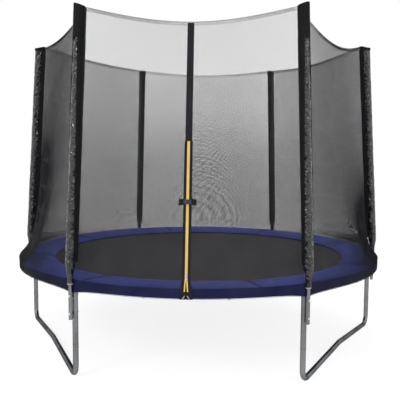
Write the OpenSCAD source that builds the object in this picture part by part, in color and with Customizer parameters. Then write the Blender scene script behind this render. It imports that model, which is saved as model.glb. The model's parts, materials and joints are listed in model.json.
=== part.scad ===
// Round garden trampoline, 10 foot class, with a zipped safety net on six padded poles.
// Millimetres. +Z is up, the floor is z = 0, the centre of the mat is x = y = 0.
// The door with its zip faces -Y. Pole 0 stands on +X and the poles count anticlockwise from above.

/* [Frame ring] */
// Outer diameter of the frame ring
frame_d = 3050; // [2400:10:3700]
// Diameter of the ring and leg tubes
frame_tube_d = 38; // [32:1:42]
// Wall of the ring and leg tubes
frame_wall = 1.5; // [1.2:0.1:2.5]
// Height of the ring tube's centre above the floor
ring_z = 640; // [560:10:820]
// Length of each T socket along the ring
socket_len = 120; // [90:5:140]
// Wall of the T sockets
socket_wall = 2.5; // [2:0.1:3]
// Depth of the socket's stub below the ring's socket
stub_len = 34; // [30:1:38]

/* [Legs] */
// Height at which the uprights plug into the leg bases
leg_joint_z = 232; // [180:1:280]
// Bend radius at the corners of a leg base
leg_bend_r = 75; // [60:5:110]
// Slope of the ground tube up to its middle, in degrees
leg_rise_angle = 3.4; // [1:0.1:5]
// Bend radius in the middle of the ground tube
leg_mid_bend_r = 160; // [100:10:300]
// Depth of the pressed flat under each corner
foot_flat = 0.7; // [0.5:0.1:1]
// How far an upright reaches down into the leg base
spigot_len = 50; // [40:1:70]
// How much thinner a tube is drawn in its bends
bend_draw = 0.2; // [0.1:0.05:0.3]
// Width of the rolled ring around the upright's joint
joint_ring_w = 5; // [4:0.5:8]
// Height of the rolled ring over the tube
joint_ring_h = 1; // [0.6:0.1:1.5]

/* [Poles] */
// Diameter of the net poles
pole_d = 25; // [22:1:28]
// Wall of the net poles
pole_wall = 1.2; // [1:0.1:1.5]
// Gap between a leg and its net pole
pole_gap = 10; // [9.5:0.5:12]
// Height of a pole's lower end
pole_bottom_z = 415; // [380:5:440]
// Height of the upper clamp bolt
bolt_high_z = 568; // [550:1:572]
// Height of the lower clamp bolt
bolt_low_z = 450; // [440:1:470]
// Diameter of the clamp bolts
bolt_d = 8; // [6:1:8]
// Height of a spacer block
spacer_h = 16; // [14:1:20]
// Width of a spacer block
spacer_w = 16; // [14:1:18]
// Height at which a pole starts to lean inwards
crank_z = 690; // [685:1:700]
// Bend radius of that crank
crank_bend_r = 400; // [300:10:500]
// Lean of the upper pole, in degrees
pole_lean = 3.6; // [0.5:0.1:5]
// Height of the pole's top end
pole_top_z = 2440; // [2000:10:2700]
// Height of the joint between lower and upper pole
pole_joint_z = 1450; // [1200:10:1700]
// How far the upper pole plugs into the lower one
pole_plug_len = 70; // [50:5:100]

/* [Foam sleeves] */
// Outer diameter of the foam sleeve
foam_d = 72; // [56:1:76]
// Outer diameter where its lower end is gathered
foam_neck_d = 40; // [36:1:44]
// Height of the sleeve's lower end
foam_bottom_z = 645; // [630:1:655]
// Height where the gathered neck starts to widen
foam_neck_z = 700; // [696:1:710]
// Height where the sleeve is full
foam_full_z = 790; // [770:5:820]
// Thickness of the net's pole pockets
pocket_t = 2; // [1.5:0.1:3]
// Share of the sleeve that the pocket strip covers, in degrees
pocket_angle = 150; // [120:5:180]
// How far the pocket's seam stands inside the sleeve
pocket_depth = 20; // [12:1:26]
// Width of that seam
pocket_seam_w = 22; // [16:1:30]
// Height of the closed top of a pocket
pocket_cap_h = 215; // [150:5:260]
// How far the pocket's rim stands above the pole
pocket_rim = 24; // [14:1:35]

/* [Mat and springs] */
// Thickness of the mat cloth
mat_t = 2; // [1.5:0.1:3]
// Width of the sewn hem band
hem_w = 50; // [40:1:60]
// Thickness of the hem webbing
hem_t = 2; // [1.5:0.1:3]
// Number of springs
spring_count = 60; // [48:6:72]
// Length of a spring over its hooks
spring_l = 155; // [140:1:190]
// Outer diameter of a spring
spring_d = 20; // [16:1:22]
// Diameter of the spring wire
spring_wire_d = 3.2; // [2.8:0.1:3.5]
// Length of the wound part of a spring
spring_body_l = 110; // [90:1:115]
// Depth of a V ring, from the hem to its tip
ring_depth = 34; // [30:1:36]
// Width of a V ring
ring_w = 44; // [36:1:50]
// Wire thickness of a V ring
ring_wire = 4; // [3:0.5:5]

/* [Spring pad and skirt] */
// How far the pad reaches over the mat
pad_overlap = 65; // [45:1:100]
// Number of pad sections
pad_count = 8; // [6:1:10]
// Angle of the first seam, in degrees
pad_seam_angle = 17.8; // [0:0.1:40]
// Thickness of the foam in the pad
pad_t = 17; // [12:1:24]
// Extra height of the pad's crown
pad_crown = 4; // [2:0.5:8]
// Gap of the seam between two sections
pad_seam_gap = 3; // [2:0.5:6]
// Depth of the skirt below the pad's edge, between the poles
skirt_depth = 62; // [55:1:64]
// Extra depth of the skirt at the poles
skirt_dip = 26; // [10:1:28]
// Thickness of the skirt cloth
skirt_t = 1.5; // [1:0.1:1.6]

/* [Net] */
// Thickness of the net cloth
net_t = 1.2; // [1:0.1:1.2]
// How far the net's top edge lies above the poles' tops, inside the pockets' rims
net_top_rise = 18; // [0:1:20]
// Sag of the net's top edge over the door
net_sag = 98; // [40:1:140]
// Height over which the net flares out to the frame
net_flare_h = 450; // [200:10:600]
// Depth of the band sewn along the net's top edge
net_hem_h = 24; // [16:1:40]
// Thickness of that band
net_hem_t = 3; // [2:0.1:4]
// How much lower the net hangs than the skirt
net_tail = 6; // [4:1:10]
// Openings across a panel, which stand for the fine mesh; the door's halves have two each
net_open_cols = 5; // [3:1:8]
// Openings up a panel
net_open_rows = 6; // [3:1:8]
// Share of the mesh that its cords take, each way
net_cord_share = 0.2; // [0.1:0.02:0.4]
// Width of an elastic tie under the frame
tie_w = 12; // [8:1:20]
// Thickness of an elastic tie
tie_t = 1.5; // [1:0.1:2]
// Diameter of the door's elastic loop
loop_d = 3; // [2:0.5:4]

/* [Door] */
// Height of the zip's top end
zip_top_z = 1580; // [1400:10:1750]
// Height of the closed zip's slider
zip_slider_z = 742; // [730:1:800]
// Height of the zip's lower ends, which hang over the pad's edge
zip_bottom_z = 658; // [650:1:670]
// Width of the yellow zip tape
zip_w = 16; // [12:1:20]
// Width of the black webbing beside the zip
zip_webbing_w = 18; // [14:1:26]
// Width of the closed band above the zip
door_band_w = 44; // [36:1:56]
// Thickness of the webbing
webbing_t = 1.6; // [1.2:0.1:2]
// Spread of the open zip at its lower end
zip_spread = 12; // [6:1:20]
// Height of the buckle
buckle_z = 1200; // [1050:10:1350]
// Distance of the buckle's back from the webbing
buckle_off = 10; // [9:0.5:14]
// Width of the buckle strap, up and down
strap_w = 38; // [30:1:40]
// Overall length of the buckled strap
strap_len = 110; // [104:1:130]
// Travel of the plug out of its socket
buckle_travel = 30; // [24:1:34]

/* [Clearances] */
// Gap between parts that slide into each other
fit_gap = 0.3; // [0.2:0.05:0.4]
// Gap between soft parts that lie on each other
soft_gap = 0.3; // [0.2:0.05:0.4]

/* [Hidden] */
pole_count = 6;
pole_step = 360 / pole_count;
ring_fn = 256;
bend_fn = 96;
lap = 1;
tube_fn = 48;
small_fn = 24;

// Ring
ring_r = (frame_d - frame_tube_d) / 2;
socket_bore_r = frame_tube_d / 2 + fit_gap;
socket_r = socket_bore_r + socket_wall;
stub_step = 0.4;
stub_r = socket_r - stub_step;
stub_bottom_z = ring_z - socket_r - stub_len;
socket_half_angle = socket_len / 2 / ring_r * 180 / PI;
rail_gap_angle = 1 / ring_r * 180 / PI;
screw_angle = socket_half_angle * 0.65;
screw_d = 4.5;
screw_hole_d = screw_d + 2 * fit_gap;
screw_head_d = 9;
screw_head_h = 2.5;
screw_l = 12;
drill_past = 5;
spring_hole_d = spring_wire_d + 3.8;
spring_taper = 6;
hook_reach = 3;

// Mat and springs
spring_end_r = ring_r - frame_tube_d / 2 + frame_wall + hook_reach;
spring_start_r = spring_end_r - spring_l;
ring_base_r = spring_start_r - fit_gap - ring_depth;
mat_r = ring_base_r - soft_gap - hem_t;
pad_inner_r = mat_r - pad_overlap;

// Legs
leg_half = ring_r * sin(pole_step / 2);
leg_chord_r = ring_r * cos(pole_step / 2);
leg_low_z = frame_tube_d / 2 - foot_flat;
leg_bend_z = leg_low_z + leg_bend_r;
leg_bend_x = leg_half - leg_bend_r;
leg_run_x = leg_bend_x - leg_bend_r * sin(leg_rise_angle);
leg_run_z = leg_bend_z - leg_bend_r * cos(leg_rise_angle);
leg_mid_x = leg_mid_bend_r * sin(leg_rise_angle);
leg_run_l = (leg_run_x - leg_mid_x) / cos(leg_rise_angle);
leg_mid_z = leg_run_z + leg_run_l * sin(leg_rise_angle);
spigot_d = frame_tube_d - 2 * frame_wall - 2 * fit_gap;
upright_gap = 1;
upright_top_z = ring_z - socket_r - upright_gap;

// Poles
pole_r = ring_r + frame_tube_d / 2 + pole_gap + pole_d / 2;
lean_z = crank_z + crank_bend_r * tan(pole_lean / 2);
crank_end_x = pole_r - crank_bend_r * (1 - cos(pole_lean));
crank_end_z = crank_z + crank_bend_r * sin(pole_lean);
pole_bore_d = pole_d - 2 * pole_wall;
plug_d = pole_bore_d - 2 * fit_gap;
lower_run_l = (pole_joint_z - crank_end_z) / cos(pole_lean);
pole_run_l = (pole_top_z - crank_end_z) / cos(pole_lean);
bolt_hole_d = bolt_d + 2 * fit_gap;
bolt_head_d = bolt_d * 1.9;
bolt_head_h = bolt_d * 0.4;
nut_d = bolt_d * 1.8;
nut_h = bolt_d * 0.75;
cap_plug_l = 15;
top_cap_h = 6;
top_cap_taper = 8;
foot_cap_h = 4;
foot_cap_taper = 5;

// Net's top edge at the poles
net_top_z = pole_top_z + net_top_rise;

// Soft parts that wrap the ring
pad_outer_r = ring_r + socket_r - soft_gap;
cloth_step = 5;
skirt_inner_r = (pad_outer_r + 2 * soft_gap) / cos(cloth_step / 2);
skirt_outer_r = skirt_inner_r + skirt_t;
net_drop_r = skirt_outer_r + soft_gap + net_t;
pad_rim_z = ring_z + socket_r + soft_gap;
pad_shoulder = 3;
pad_edge_z = pad_rim_z + pad_t - pad_shoulder;
net_over_h = 6;
net_over_z = pad_edge_z + net_over_h;
foam_cut_r = net_drop_r + soft_gap;
foam_full_run = (foam_full_z - crank_end_z) / cos(pole_lean);
foam_neck_lap = 8;
foam_neck_run = (foam_neck_z - foam_neck_lap - crank_end_z) / cos(pole_lean);
foam_top_gap = 2;
foam_top_run = pole_run_l - foam_top_gap;
pocket_r = foam_d / 2 + soft_gap + pocket_t;

// ---- shared shapes ----

module at_pole(i) { rotate([0, 0, pole_step * i]) children(); }

// Turns x-y profiles into the upright plane through the pole, x outwards and y up
module upright_plane() { rotate([90, 0, 0]) children(); }

// Frame that runs up the leaning part of a pole from the end of its crank
module along_pole() { translate([crank_end_x, 0, crank_end_z]) rotate([0, -pole_lean, 0]) children(); }

// A straight stretch of tube from height z0 to z1
module tube(d, bore, z0, z1) {
    translate([0, 0, z0]) difference() {
        cylinder(d = d, h = z1 - z0, $fn = tube_fn);
        if (bore > 0) translate([0, 0, -1]) cylinder(d = bore, h = z1 - z0 + 2, $fn = tube_fn);
    }
}

// A bent stretch of tube, its wall drawn thinner than the straight tube's
module tube_bend(bend_r, d, bore, angle) {
    rotate_extrude(angle = angle, $fn = bend_fn) translate([bend_r, 0]) difference() {
        circle(d = d - 2 * bend_draw, $fn = tube_fn);
        if (bore > 0) circle(d = bore + 2 * bend_draw, $fn = tube_fn);
    }
}

// A hole or bolt along the radius at height z, from radius r0 to radius r1
module radial_rod(d, r0, r1, z) {
    translate([r0, 0, z]) rotate([0, 90, 0]) cylinder(d = d, h = r1 - r0, $fn = small_fn);
}

// A closed sheet between two grids of points, rows upwards and columns anticlockwise
module sheet(outer, inner, closed = false) {
    rows = len(outer);
    cols = len(outer[0]);
    spans = closed ? cols : cols - 1;
    half = rows * cols;
    points = concat([for (row = outer) for (p = row) p], [for (row = inner) for (p = row) p]);
    function at(r, c) = r * cols + c % cols;
    skins = [for (r = [0:rows - 2]) for (c = [0:spans - 1])
        let (a = at(r, c), b = at(r, c + 1), d = at(r + 1, c + 1), e = at(r + 1, c))
        each [[a, e, d], [a, d, b], [half + a, half + d, half + e], [half + a, half + b, half + d]]];
    rims = [for (c = [0:spans - 1])
        let (a = at(0, c), b = at(0, c + 1), e = at(rows - 1, c), d = at(rows - 1, c + 1))
        each [[a, b, half + b], [a, half + b, half + a], [d, e, half + e], [d, half + e, half + d]]];
    sides = closed ? [] : [for (r = [0:rows - 2])
        let (a = at(r, 0), e = at(r + 1, 0), b = at(r, cols - 1), d = at(r + 1, cols - 1))
        each [[e, a, half + a], [e, half + a, half + e], [b, d, half + d], [b, half + d, half + b]]];
    polyhedron(points, concat(skins, rims, sides));
}

// A solid swept through a list of closed rings of points
module loft(rings) {
    count = len(rings);
    n = len(rings[0]);
    sides = [for (r = [0:count - 2]) for (k = [0:n - 1])
        let (a = r * n + k, b = r * n + (k + 1) % n, d = (r + 1) * n + (k + 1) % n, e = (r + 1) * n + k)
        each [[a, e, d], [a, d, b]]];
    first = [for (k = [1:n - 2]) [0, k, k + 1]];
    last = [for (k = [1:n - 2]) let (base = (count - 1) * n) [base, base + k + 1, base + k]];
    polyhedron([for (ring = rings) for (p = ring) p], concat(sides, first, last));
}

function polar(r, a, z) = [r * cos(a), r * sin(a), z];
function clamp01(t) = min(1, max(0, t));

// ---- frame ring ----

module rail(i) {
    start = pole_step * i + rail_gap_angle;
    sweep = pole_step - 2 * rail_gap_angle;
    springs_here = spring_count / pole_count;
    color("silver") difference() {
        rotate([0, 0, start]) translate([0, 0, ring_z])
            rotate_extrude(angle = sweep, $fn = ring_fn) translate([ring_r, 0]) difference() {
                circle(d = frame_tube_d, $fn = tube_fn);
                circle(d = frame_tube_d - 2 * frame_wall, $fn = tube_fn);
            }
        for (j = [0:springs_here - 1])
            rotate([0, 0, pole_step * i + (j + 0.5) * 360 / spring_count])
                radial_rod(spring_hole_d, ring_r - frame_tube_d / 2 - drill_past,
                    ring_r - drill_past, ring_z);
        for (a = [pole_step * i + screw_angle, pole_step * (i + 1) - screw_angle])
            rotate([0, 0, a])
                radial_rod(screw_hole_d, ring_r - frame_tube_d / 2 - drill_past, ring_r - drill_past, ring_z);
    }
}

module t_socket() {
    difference() {
        union() {
            rotate([0, 0, -socket_half_angle]) translate([0, 0, ring_z])
                rotate_extrude(angle = 2 * socket_half_angle, $fn = ring_fn)
                    translate([ring_r, 0]) circle(r = socket_r, $fn = tube_fn);
            translate([ring_r, 0, stub_bottom_z])
                cylinder(r = stub_r, h = stub_len + socket_r, $fn = tube_fn);
        }
        rotate([0, 0, -socket_half_angle - 1]) translate([0, 0, ring_z])
            rotate_extrude(angle = 2 * socket_half_angle + 2, $fn = ring_fn)
                translate([ring_r, 0]) circle(r = socket_bore_r, $fn = tube_fn);
        translate([ring_r, 0, stub_bottom_z - 1])
            cylinder(r = socket_bore_r, h = upright_top_z - stub_bottom_z + 1, $fn = tube_fn);
        for (a = [-screw_angle, screw_angle])
            rotate([0, 0, a])
                radial_rod(screw_hole_d, ring_r - socket_r - drill_past, ring_r - drill_past, ring_z);
    }
}

module t_sockets() { color("silver") for (i = [0:pole_count - 1]) at_pole(i) t_socket(); }

// ---- legs ----

// Frame of the leg that stands under poles i and i + 1, x along the leg
module leg_frame(i) {
    rotate([0, 0, pole_step * (i + 0.5)]) translate([leg_chord_r, 0, 0]) rotate([0, 0, 90]) children();
}

module leg_half_tube() {
    bore = frame_tube_d - 2 * frame_wall;
    translate([leg_half, 0, leg_bend_z]) tube(frame_tube_d, bore, -lap, leg_joint_z - leg_bend_z);
    translate([leg_bend_x, 0, leg_bend_z]) upright_plane() rotate([0, 0, -90 - leg_rise_angle])
        tube_bend(leg_bend_r, frame_tube_d, bore, 90 + leg_rise_angle);
    translate([leg_mid_x, 0, leg_mid_z]) rotate([0, 90 + leg_rise_angle, 0])
        tube(frame_tube_d, bore, -lap, leg_run_l + lap);
}

module leg_base(i) {
    color("silver") leg_frame(i) difference() {
        union() {
            leg_half_tube();
            mirror([1, 0, 0]) leg_half_tube();
            translate([0, 0, leg_mid_z - leg_mid_bend_r * cos(leg_rise_angle)]) upright_plane()
                rotate([0, 0, 90 - leg_rise_angle])
                    tube_bend(leg_mid_bend_r, frame_tube_d, frame_tube_d - 2 * frame_wall,
                        2 * leg_rise_angle);
        }
        translate([-frame_d / 2, -frame_tube_d, -frame_tube_d])
            cube([frame_d, 2 * frame_tube_d, frame_tube_d]);
        for (side = [-1, 1]) translate([side * leg_half, 0, leg_joint_z - spigot_len / 2])
            rotate([-90, 0, 0]) cylinder(d = screw_hole_d, h = frame_tube_d, $fn = small_fn);
    }
}

module upright() {
    bore = frame_tube_d - 4 * frame_wall - 2 * fit_gap;
    difference() {
        union() {
            translate([0, 0, leg_joint_z - spigot_len]) cylinder(d = spigot_d, h = spigot_len + 1,
                $fn = tube_fn);
            translate([0, 0, leg_joint_z]) cylinder(d = frame_tube_d + 2 * joint_ring_h,
                h = joint_ring_w, $fn = tube_fn);
            translate([0, 0, leg_joint_z + joint_ring_w / 2])
                cylinder(d = frame_tube_d, h = upright_top_z - leg_joint_z - joint_ring_w / 2,
                    $fn = tube_fn);
        }
        translate([0, 0, leg_joint_z - spigot_len - 1])
            cylinder(d = bore, h = upright_top_z - leg_joint_z + spigot_len + 2, $fn = tube_fn);
    }
}

// The pair of uprights over one leg base, each drilled for its clamp bolts and its base screw
module leg_uprights(i) {
    color("silver") for (k = [i, i + 1]) at_pole(k) difference() {
        translate([ring_r, 0, 0]) upright();
        for (z = [bolt_low_z, bolt_high_z])
            radial_rod(bolt_hole_d, ring_r - frame_tube_d, ring_r + frame_tube_d, z);
        translate([ring_r, 0, leg_joint_z - spigot_len / 2])
            rotate([0, 0, 180 + (k == i ? 1 : -1) * pole_step / 2]) rotate([0, 90, 0])
                cylinder(d = screw_hole_d, h = frame_tube_d, $fn = small_fn);
    }
}

// ---- net poles ----

// A pole from its lower end up its leaning run, solid where its bore is 0
module pole_path(d, bore, from_z, run_l) {
    translate([pole_r, 0, 0]) tube(d, bore, from_z, crank_z + lap);
    translate([pole_r - crank_bend_r, 0, crank_z]) upright_plane()
        tube_bend(crank_bend_r, d, bore, pole_lean);
    along_pole() tube(d, bore, -lap, run_l);
}

module lower_pole(i) {
    color("silver") at_pole(i) difference() {
        pole_path(pole_d, pole_bore_d, pole_bottom_z, lower_run_l);
        for (z = [bolt_low_z, bolt_high_z])
            radial_rod(bolt_hole_d, pole_r - pole_d, pole_r + pole_d, z);
    }
}

module upper_pole(i) {
    color("silver") at_pole(i) along_pole() difference() {
        union() {
            translate([0, 0, lower_run_l + fit_gap])
                cylinder(d = pole_d, h = pole_run_l - lower_run_l - fit_gap, $fn = tube_fn);
            translate([0, 0, lower_run_l - pole_plug_len])
                cylinder(d = plug_d, h = pole_plug_len + 1, $fn = tube_fn);
        }
        translate([0, 0, lower_run_l - pole_plug_len - 1])
            cylinder(d = plug_d - 2 * pole_wall, h = pole_run_l - lower_run_l + pole_plug_len + 2,
                $fn = tube_fn);
    }
}

module pole_caps() {
    color([0.1, 0.1, 0.1]) for (i = [0:pole_count - 1]) at_pole(i) {
        along_pole() translate([0, 0, pole_run_l]) {
            cylinder(d1 = pole_d, d2 = pole_d - top_cap_taper, h = top_cap_h, $fn = tube_fn);
            translate([0, 0, -cap_plug_l])
                cylinder(d = plug_d - 2 * pole_wall - 2 * fit_gap, h = cap_plug_l, $fn = tube_fn);
        }
        translate([pole_r, 0, pole_bottom_z]) {
            translate([0, 0, -foot_cap_h])
                cylinder(d1 = pole_d - foot_cap_taper, d2 = pole_d, h = foot_cap_h, $fn = tube_fn);
            cylinder(d = pole_bore_d - 2 * fit_gap, h = cap_plug_l, $fn = tube_fn);
        }
    }
}

module pole_spacers() {
    color([0.08, 0.08, 0.08]) for (i = [0:pole_count - 1]) at_pole(i)
        for (z = [bolt_low_z, bolt_high_z]) difference() {
            translate([ring_r, -spacer_w / 2, z - spacer_h / 2]) cube([pole_r - ring_r, spacer_w, spacer_h]);
            translate([ring_r, 0, z - spacer_h])
                cylinder(d = frame_tube_d + 2 * fit_gap, h = 2 * spacer_h, $fn = tube_fn);
            translate([pole_r, 0, z - spacer_h])
                cylinder(d = pole_d + 2 * fit_gap, h = 2 * spacer_h, $fn = tube_fn);
            radial_rod(bolt_hole_d, ring_r, pole_r, z);
        }
}

module pole_bolts() {
    head_r = pole_r + pole_d / 2 + fit_gap;
    nut_r = ring_r - frame_tube_d / 2 - fit_gap;
    color("gainsboro") for (i = [0:pole_count - 1]) at_pole(i) for (z = [bolt_low_z, bolt_high_z]) {
        radial_rod(bolt_d, nut_r - bolt_d, head_r + 0.5, z);
        translate([head_r, 0, z]) rotate([0, 90, 0])
            cylinder(d1 = bolt_head_d, d2 = bolt_d, h = bolt_head_h, $fn = small_fn);
        translate([nut_r - nut_h, 0, z]) rotate([0, 90, 0]) cylinder(d = nut_d, h = nut_h, $fn = 6);
    }
}

module frame_screw() {
    cylinder(d = screw_head_d, h = screw_head_h, $fn = small_fn);
    translate([0, 0, -screw_l]) cylinder(d = screw_d, h = screw_l + lap / 2, $fn = small_fn);
}

module frame_screws() {
    color("gainsboro") {
        for (i = [0:pole_count - 1]) for (side = [-1, 1])
            rotate([0, 0, pole_step * i + side * screw_angle])
                translate([ring_r - socket_r - fit_gap, 0, ring_z]) rotate([0, -90, 0]) frame_screw();
        for (leg = [1, 3, 5]) leg_frame(leg) for (side = [-1, 1])
            translate([side * leg_half, frame_tube_d / 2, leg_joint_z - spigot_len / 2])
                rotate([-90, 0, 0]) frame_screw();
    }
}

// ---- foam sleeves and pole pockets ----

module foam_sleeve(i) {
    color([0.16, 0.16, 0.17]) at_pole(i) difference() {
        union() {
            translate([pole_r, 0, foam_bottom_z])
                cylinder(d = foam_neck_d, h = foam_neck_z - foam_bottom_z, $fn = tube_fn);
            along_pole() rotate_extrude($fn = tube_fn)
                polygon([[0, foam_neck_run], [foam_neck_d / 2 - 1, foam_neck_run],
                    [foam_d / 2, foam_full_run], [foam_d / 2, foam_top_run], [0, foam_top_run]]);
        }
        pole_path(pole_d + 2 * fit_gap, 0, foam_bottom_z - 5, pole_run_l + 5);
        cylinder(r = foam_cut_r, h = foam_neck_z - 4, $fn = ring_fn);
    }
}

// Cross-section of a pocket: a wrap round the sleeve, whole or on the net's side, and its seam
module pocket_outline(whole) {
    seam_x = foam_d / 2 + pocket_depth;
    root_x = foam_d * 0.3;
    root_y = foam_d * 0.38;
    difference() {
        union() {
            intersection() {
                circle(r = pocket_r, $fn = tube_fn);
                if (!whole) translate([-2 * foam_d, -foam_d])
                    square([2 * foam_d - pocket_r * cos(pocket_angle / 2), 2 * foam_d]);
            }
            polygon([[-root_x, -root_y], [-root_x, root_y], [-seam_x, pocket_seam_w / 2],
                [-seam_x, -pocket_seam_w / 2]]);
        }
        circle(r = foam_d / 2 + soft_gap, $fn = tube_fn);
    }
}

module net_pole_pockets() {
    start_run = foam_full_run + foam_d * tan(pole_lean);
    cap_run = pole_run_l - pocket_cap_h;
    color([0.05, 0.05, 0.06]) for (i = [0:pole_count - 1]) at_pole(i) along_pole() {
        translate([0, 0, start_run]) linear_extrude(height = cap_run - start_run + lap)
            pocket_outline(false);
        translate([0, 0, cap_run]) linear_extrude(height = pocket_cap_h + pocket_rim)
            pocket_outline(true);
    }
}

// ---- mat, V rings and springs ----

module jumping_mat() {
    color([0.13, 0.13, 0.14]) translate([0, 0, ring_z - mat_t / 2])
        cylinder(r = mat_r, h = mat_t, $fn = ring_fn);
}

module mat_hem() {
    half_t = mat_t / 2 + hem_t;
    color([0.08, 0.08, 0.09]) translate([0, 0, ring_z]) rotate_extrude($fn = ring_fn) difference() {
        translate([mat_r + hem_t - hem_w, -half_t]) square([hem_w, 2 * half_t]);
        translate([0, -mat_t / 2]) square([mat_r, mat_t]);
    }
}

// A triangular wire ring, its base along the hem and its tip outwards
module v_ring() {
    base_y = ring_w / 2;
    hole_y = base_y - ring_wire * 1.8;
    tip_y = ring_wire;
    hole_x = ring_depth - ring_wire;
    linear_extrude(height = ring_wire, center = true) difference() {
        polygon([[0, -base_y], [0, base_y], [ring_depth, tip_y], [ring_depth, -tip_y]]);
        polygon([[ring_wire, -hole_y], [ring_wire, hole_y], [hole_x, tip_y / 4], [hole_x, -tip_y / 4]]);
    }
}

module v_rings() {
    color("silver") for (j = [0:spring_count - 1]) rotate([0, 0, (j + 0.5) * 360 / spring_count])
        translate([ring_base_r, 0, ring_z]) v_ring();
}

module springs() {
    body_r = (spring_start_r + spring_end_r - spring_body_l) / 2;
    color("silver") for (j = [0:spring_count - 1]) rotate([0, 0, (j + 0.5) * 360 / spring_count])
        translate([0, 0, ring_z]) rotate([0, 90, 0]) rotate_extrude($fn = small_fn)
            polygon([[0, spring_start_r], [spring_wire_d / 2, spring_start_r],
                [spring_wire_d / 2, body_r - spring_taper], [spring_d / 2, body_r],
                [spring_d / 2, body_r + spring_body_l],
                [spring_wire_d / 2, body_r + spring_body_l + spring_taper],
                [spring_wire_d / 2, spring_end_r], [0, spring_end_r]]);
}

// ---- spring pad and skirt ----

pad_step = 360 / pad_count;
pad_segments = round(pad_step / cloth_step);
// Where the pad's top bends, measured in from its rim
pad_round_w = 10;
pad_crown_w = 60;
pad_slope_w = 150;
pad_low_w = 230;
// Share of the thickness that is left at a seam
pad_seam_share = 0.55;
// Room left over the springs and over the mat's hem
pad_lift = 1.5;
hem_lift = 1;
// Height of the rim's rounded edges
pad_rim_round = 5;

// Cross-section of the pad as [radius, height]: puff runs from 0 at a seam to 1 in the middle
function pad_section(puff) = let (
        rim = pad_outer_r,
        shelf_r = ring_r - socket_r - 4,
        low_z = ring_z + spring_d / 2 + pad_lift,
        lip_z = ring_z + mat_t / 2 + hem_t + hem_lift,
        t = pad_t * (pad_seam_share + (1 - pad_seam_share) * puff),
        top_z = pad_rim_z + t,
        crown = pad_crown * puff)
    [[pad_inner_r + 4, lip_z], [mat_r + 10, lip_z], [mat_r + hem_t + 16, low_z], [shelf_r - 8, low_z],
     [shelf_r, pad_rim_z], [rim - 4, pad_rim_z], [rim, pad_rim_z + pad_rim_round], [rim, top_z - 6],
     [rim - pad_round_w, top_z], [rim - pad_crown_w, top_z + crown],
     [rim - pad_slope_w, low_z + t + 6 + crown], [rim - pad_low_w, low_z + t + crown * 0.5],
     [pad_inner_r + 14, lip_z + t * 0.75], [pad_inner_r, lip_z + t * 0.3]];

module pad(k) {
    trim = pad_seam_gap / 2 / ring_r * 180 / PI;
    first = pad_seam_angle + pad_step * (k - 1) + trim;
    sweep = pad_step - 2 * trim;
    color([0.14, 0.17, 0.42]) loft([for (j = [pad_segments:-1:0])
        let (s = 2 * j / pad_segments - 1, section = pad_section(1 - pow(abs(s), 6)))
        [for (p = section) polar(p[0], first + sweep * j / pad_segments, p[1])]]);
}

// Distance from the middle of a net panel, from 0 to 1 at the poles
function panel_share(a) = abs((a % pole_step) / pole_step * 2 - 1);
function skirt_low_z(a) = pad_edge_z - skirt_depth - skirt_dip * pow(panel_share(a), 4);

module pad_skirt() {
    angles = [for (a = [0:cloth_step:360 - cloth_step]) a];
    function row(r, t) = [for (a = angles) polar(r, a, pad_edge_z + (skirt_low_z(a) - pad_edge_z) * t)];
    color([0.07, 0.08, 0.22]) sheet([for (t = [1, 0.5, 0]) row(skirt_outer_r, t)],
        [for (t = [1, 0.5, 0]) row(skirt_inner_r, t)], closed = true);
}

// ---- safety net ----

// Radius of a pole's axis at height z
function pole_axis_r(z) = pole_r - max(0, z - lean_z) * tan(pole_lean);
// Radius of the net's outer face where it passes a pole
function net_pole_r(z) = let (
        t = clamp01((z - net_over_z) / (foam_full_z - net_over_z)),
        top_r = pole_axis_r(z) - (foam_d / 2 + pocket_depth) / cos(pole_lean) - soft_gap)
    net_drop_r + (top_r - net_drop_r) * t * (2 - t);
// Radius of the door's straight centre line
door_top_z = net_top_z - net_sag;
door_top_r = net_pole_r(door_top_z) * cos(pole_step / 2);
door_lean = atan((net_drop_r - door_top_r) / (door_top_z - net_over_z));
function door_r(z) = net_drop_r - max(0, z - net_over_z) * tan(door_lean);
// Share of the round bulge that is left at height z, and the share that keeps the door line straight
function net_bulge(z) = exp(-max(0, z - net_over_z) / net_flare_h);
function door_bulge(z) = let (flat = cos(pole_step / 2))
    (door_r(z) / net_pole_r(z) - flat) / (1 - flat);
// Radius of the net's outer face at angle a from the middle of a panel
function net_r(a, z, door) = let (
        flat = cos(pole_step / 2) / cos(a),
        w = door ? pow(cos(180 * a / pole_step), 2) : 0,
        bulge = w * door_bulge(z) + (1 - w) * net_bulge(z))
    net_pole_r(z) * (flat + (1 - flat) * bulge);

// Each panel's sag as a share of the door's, from the right back panel round to the right front one
sag_shares = [0.5, 0.5, 0.25, 0.5, 1, 1.1];
function panel_sag(middle) = net_sag * sag_shares[(floor(middle / pole_step) + pole_count) % pole_count];
function net_top(a, middle) = net_top_z - panel_sag(middle) * (1 - pow(2 * a / pole_step, 2));
function net_low(a) = skirt_low_z(a + pole_step / 2) - net_tail;
net_seam_angle = 0.02;
net_half_angle = pole_step / 2 - net_seam_angle;
net_cols = round(pole_step / cloth_step);
// The door's halves: the gap at the zip, and the closed strip beside it that the buckle's strap lies on
zip_angle = 2 / ring_r * 180 / PI;
door_strip_angle = (strap_len / 2 + 20) / door_r(buckle_z) * 180 / PI;

// Edges of the cords that part n openings between two places
function cord_edges(from, to, n) = let (cell = (to - from) / n, cord = cell * net_cord_share / 2)
    [for (k = [0:n - 1]) each [from + cell * k + cord, from + cell * (k + 1) - cord]];
net_wall_cords = concat([-net_half_angle], cord_edges(-net_half_angle, net_half_angle, net_open_cols),
    [net_half_angle]);
net_door_cords = concat([zip_angle], cord_edges(door_strip_angle, net_half_angle, 2), [net_half_angle]);

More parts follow.
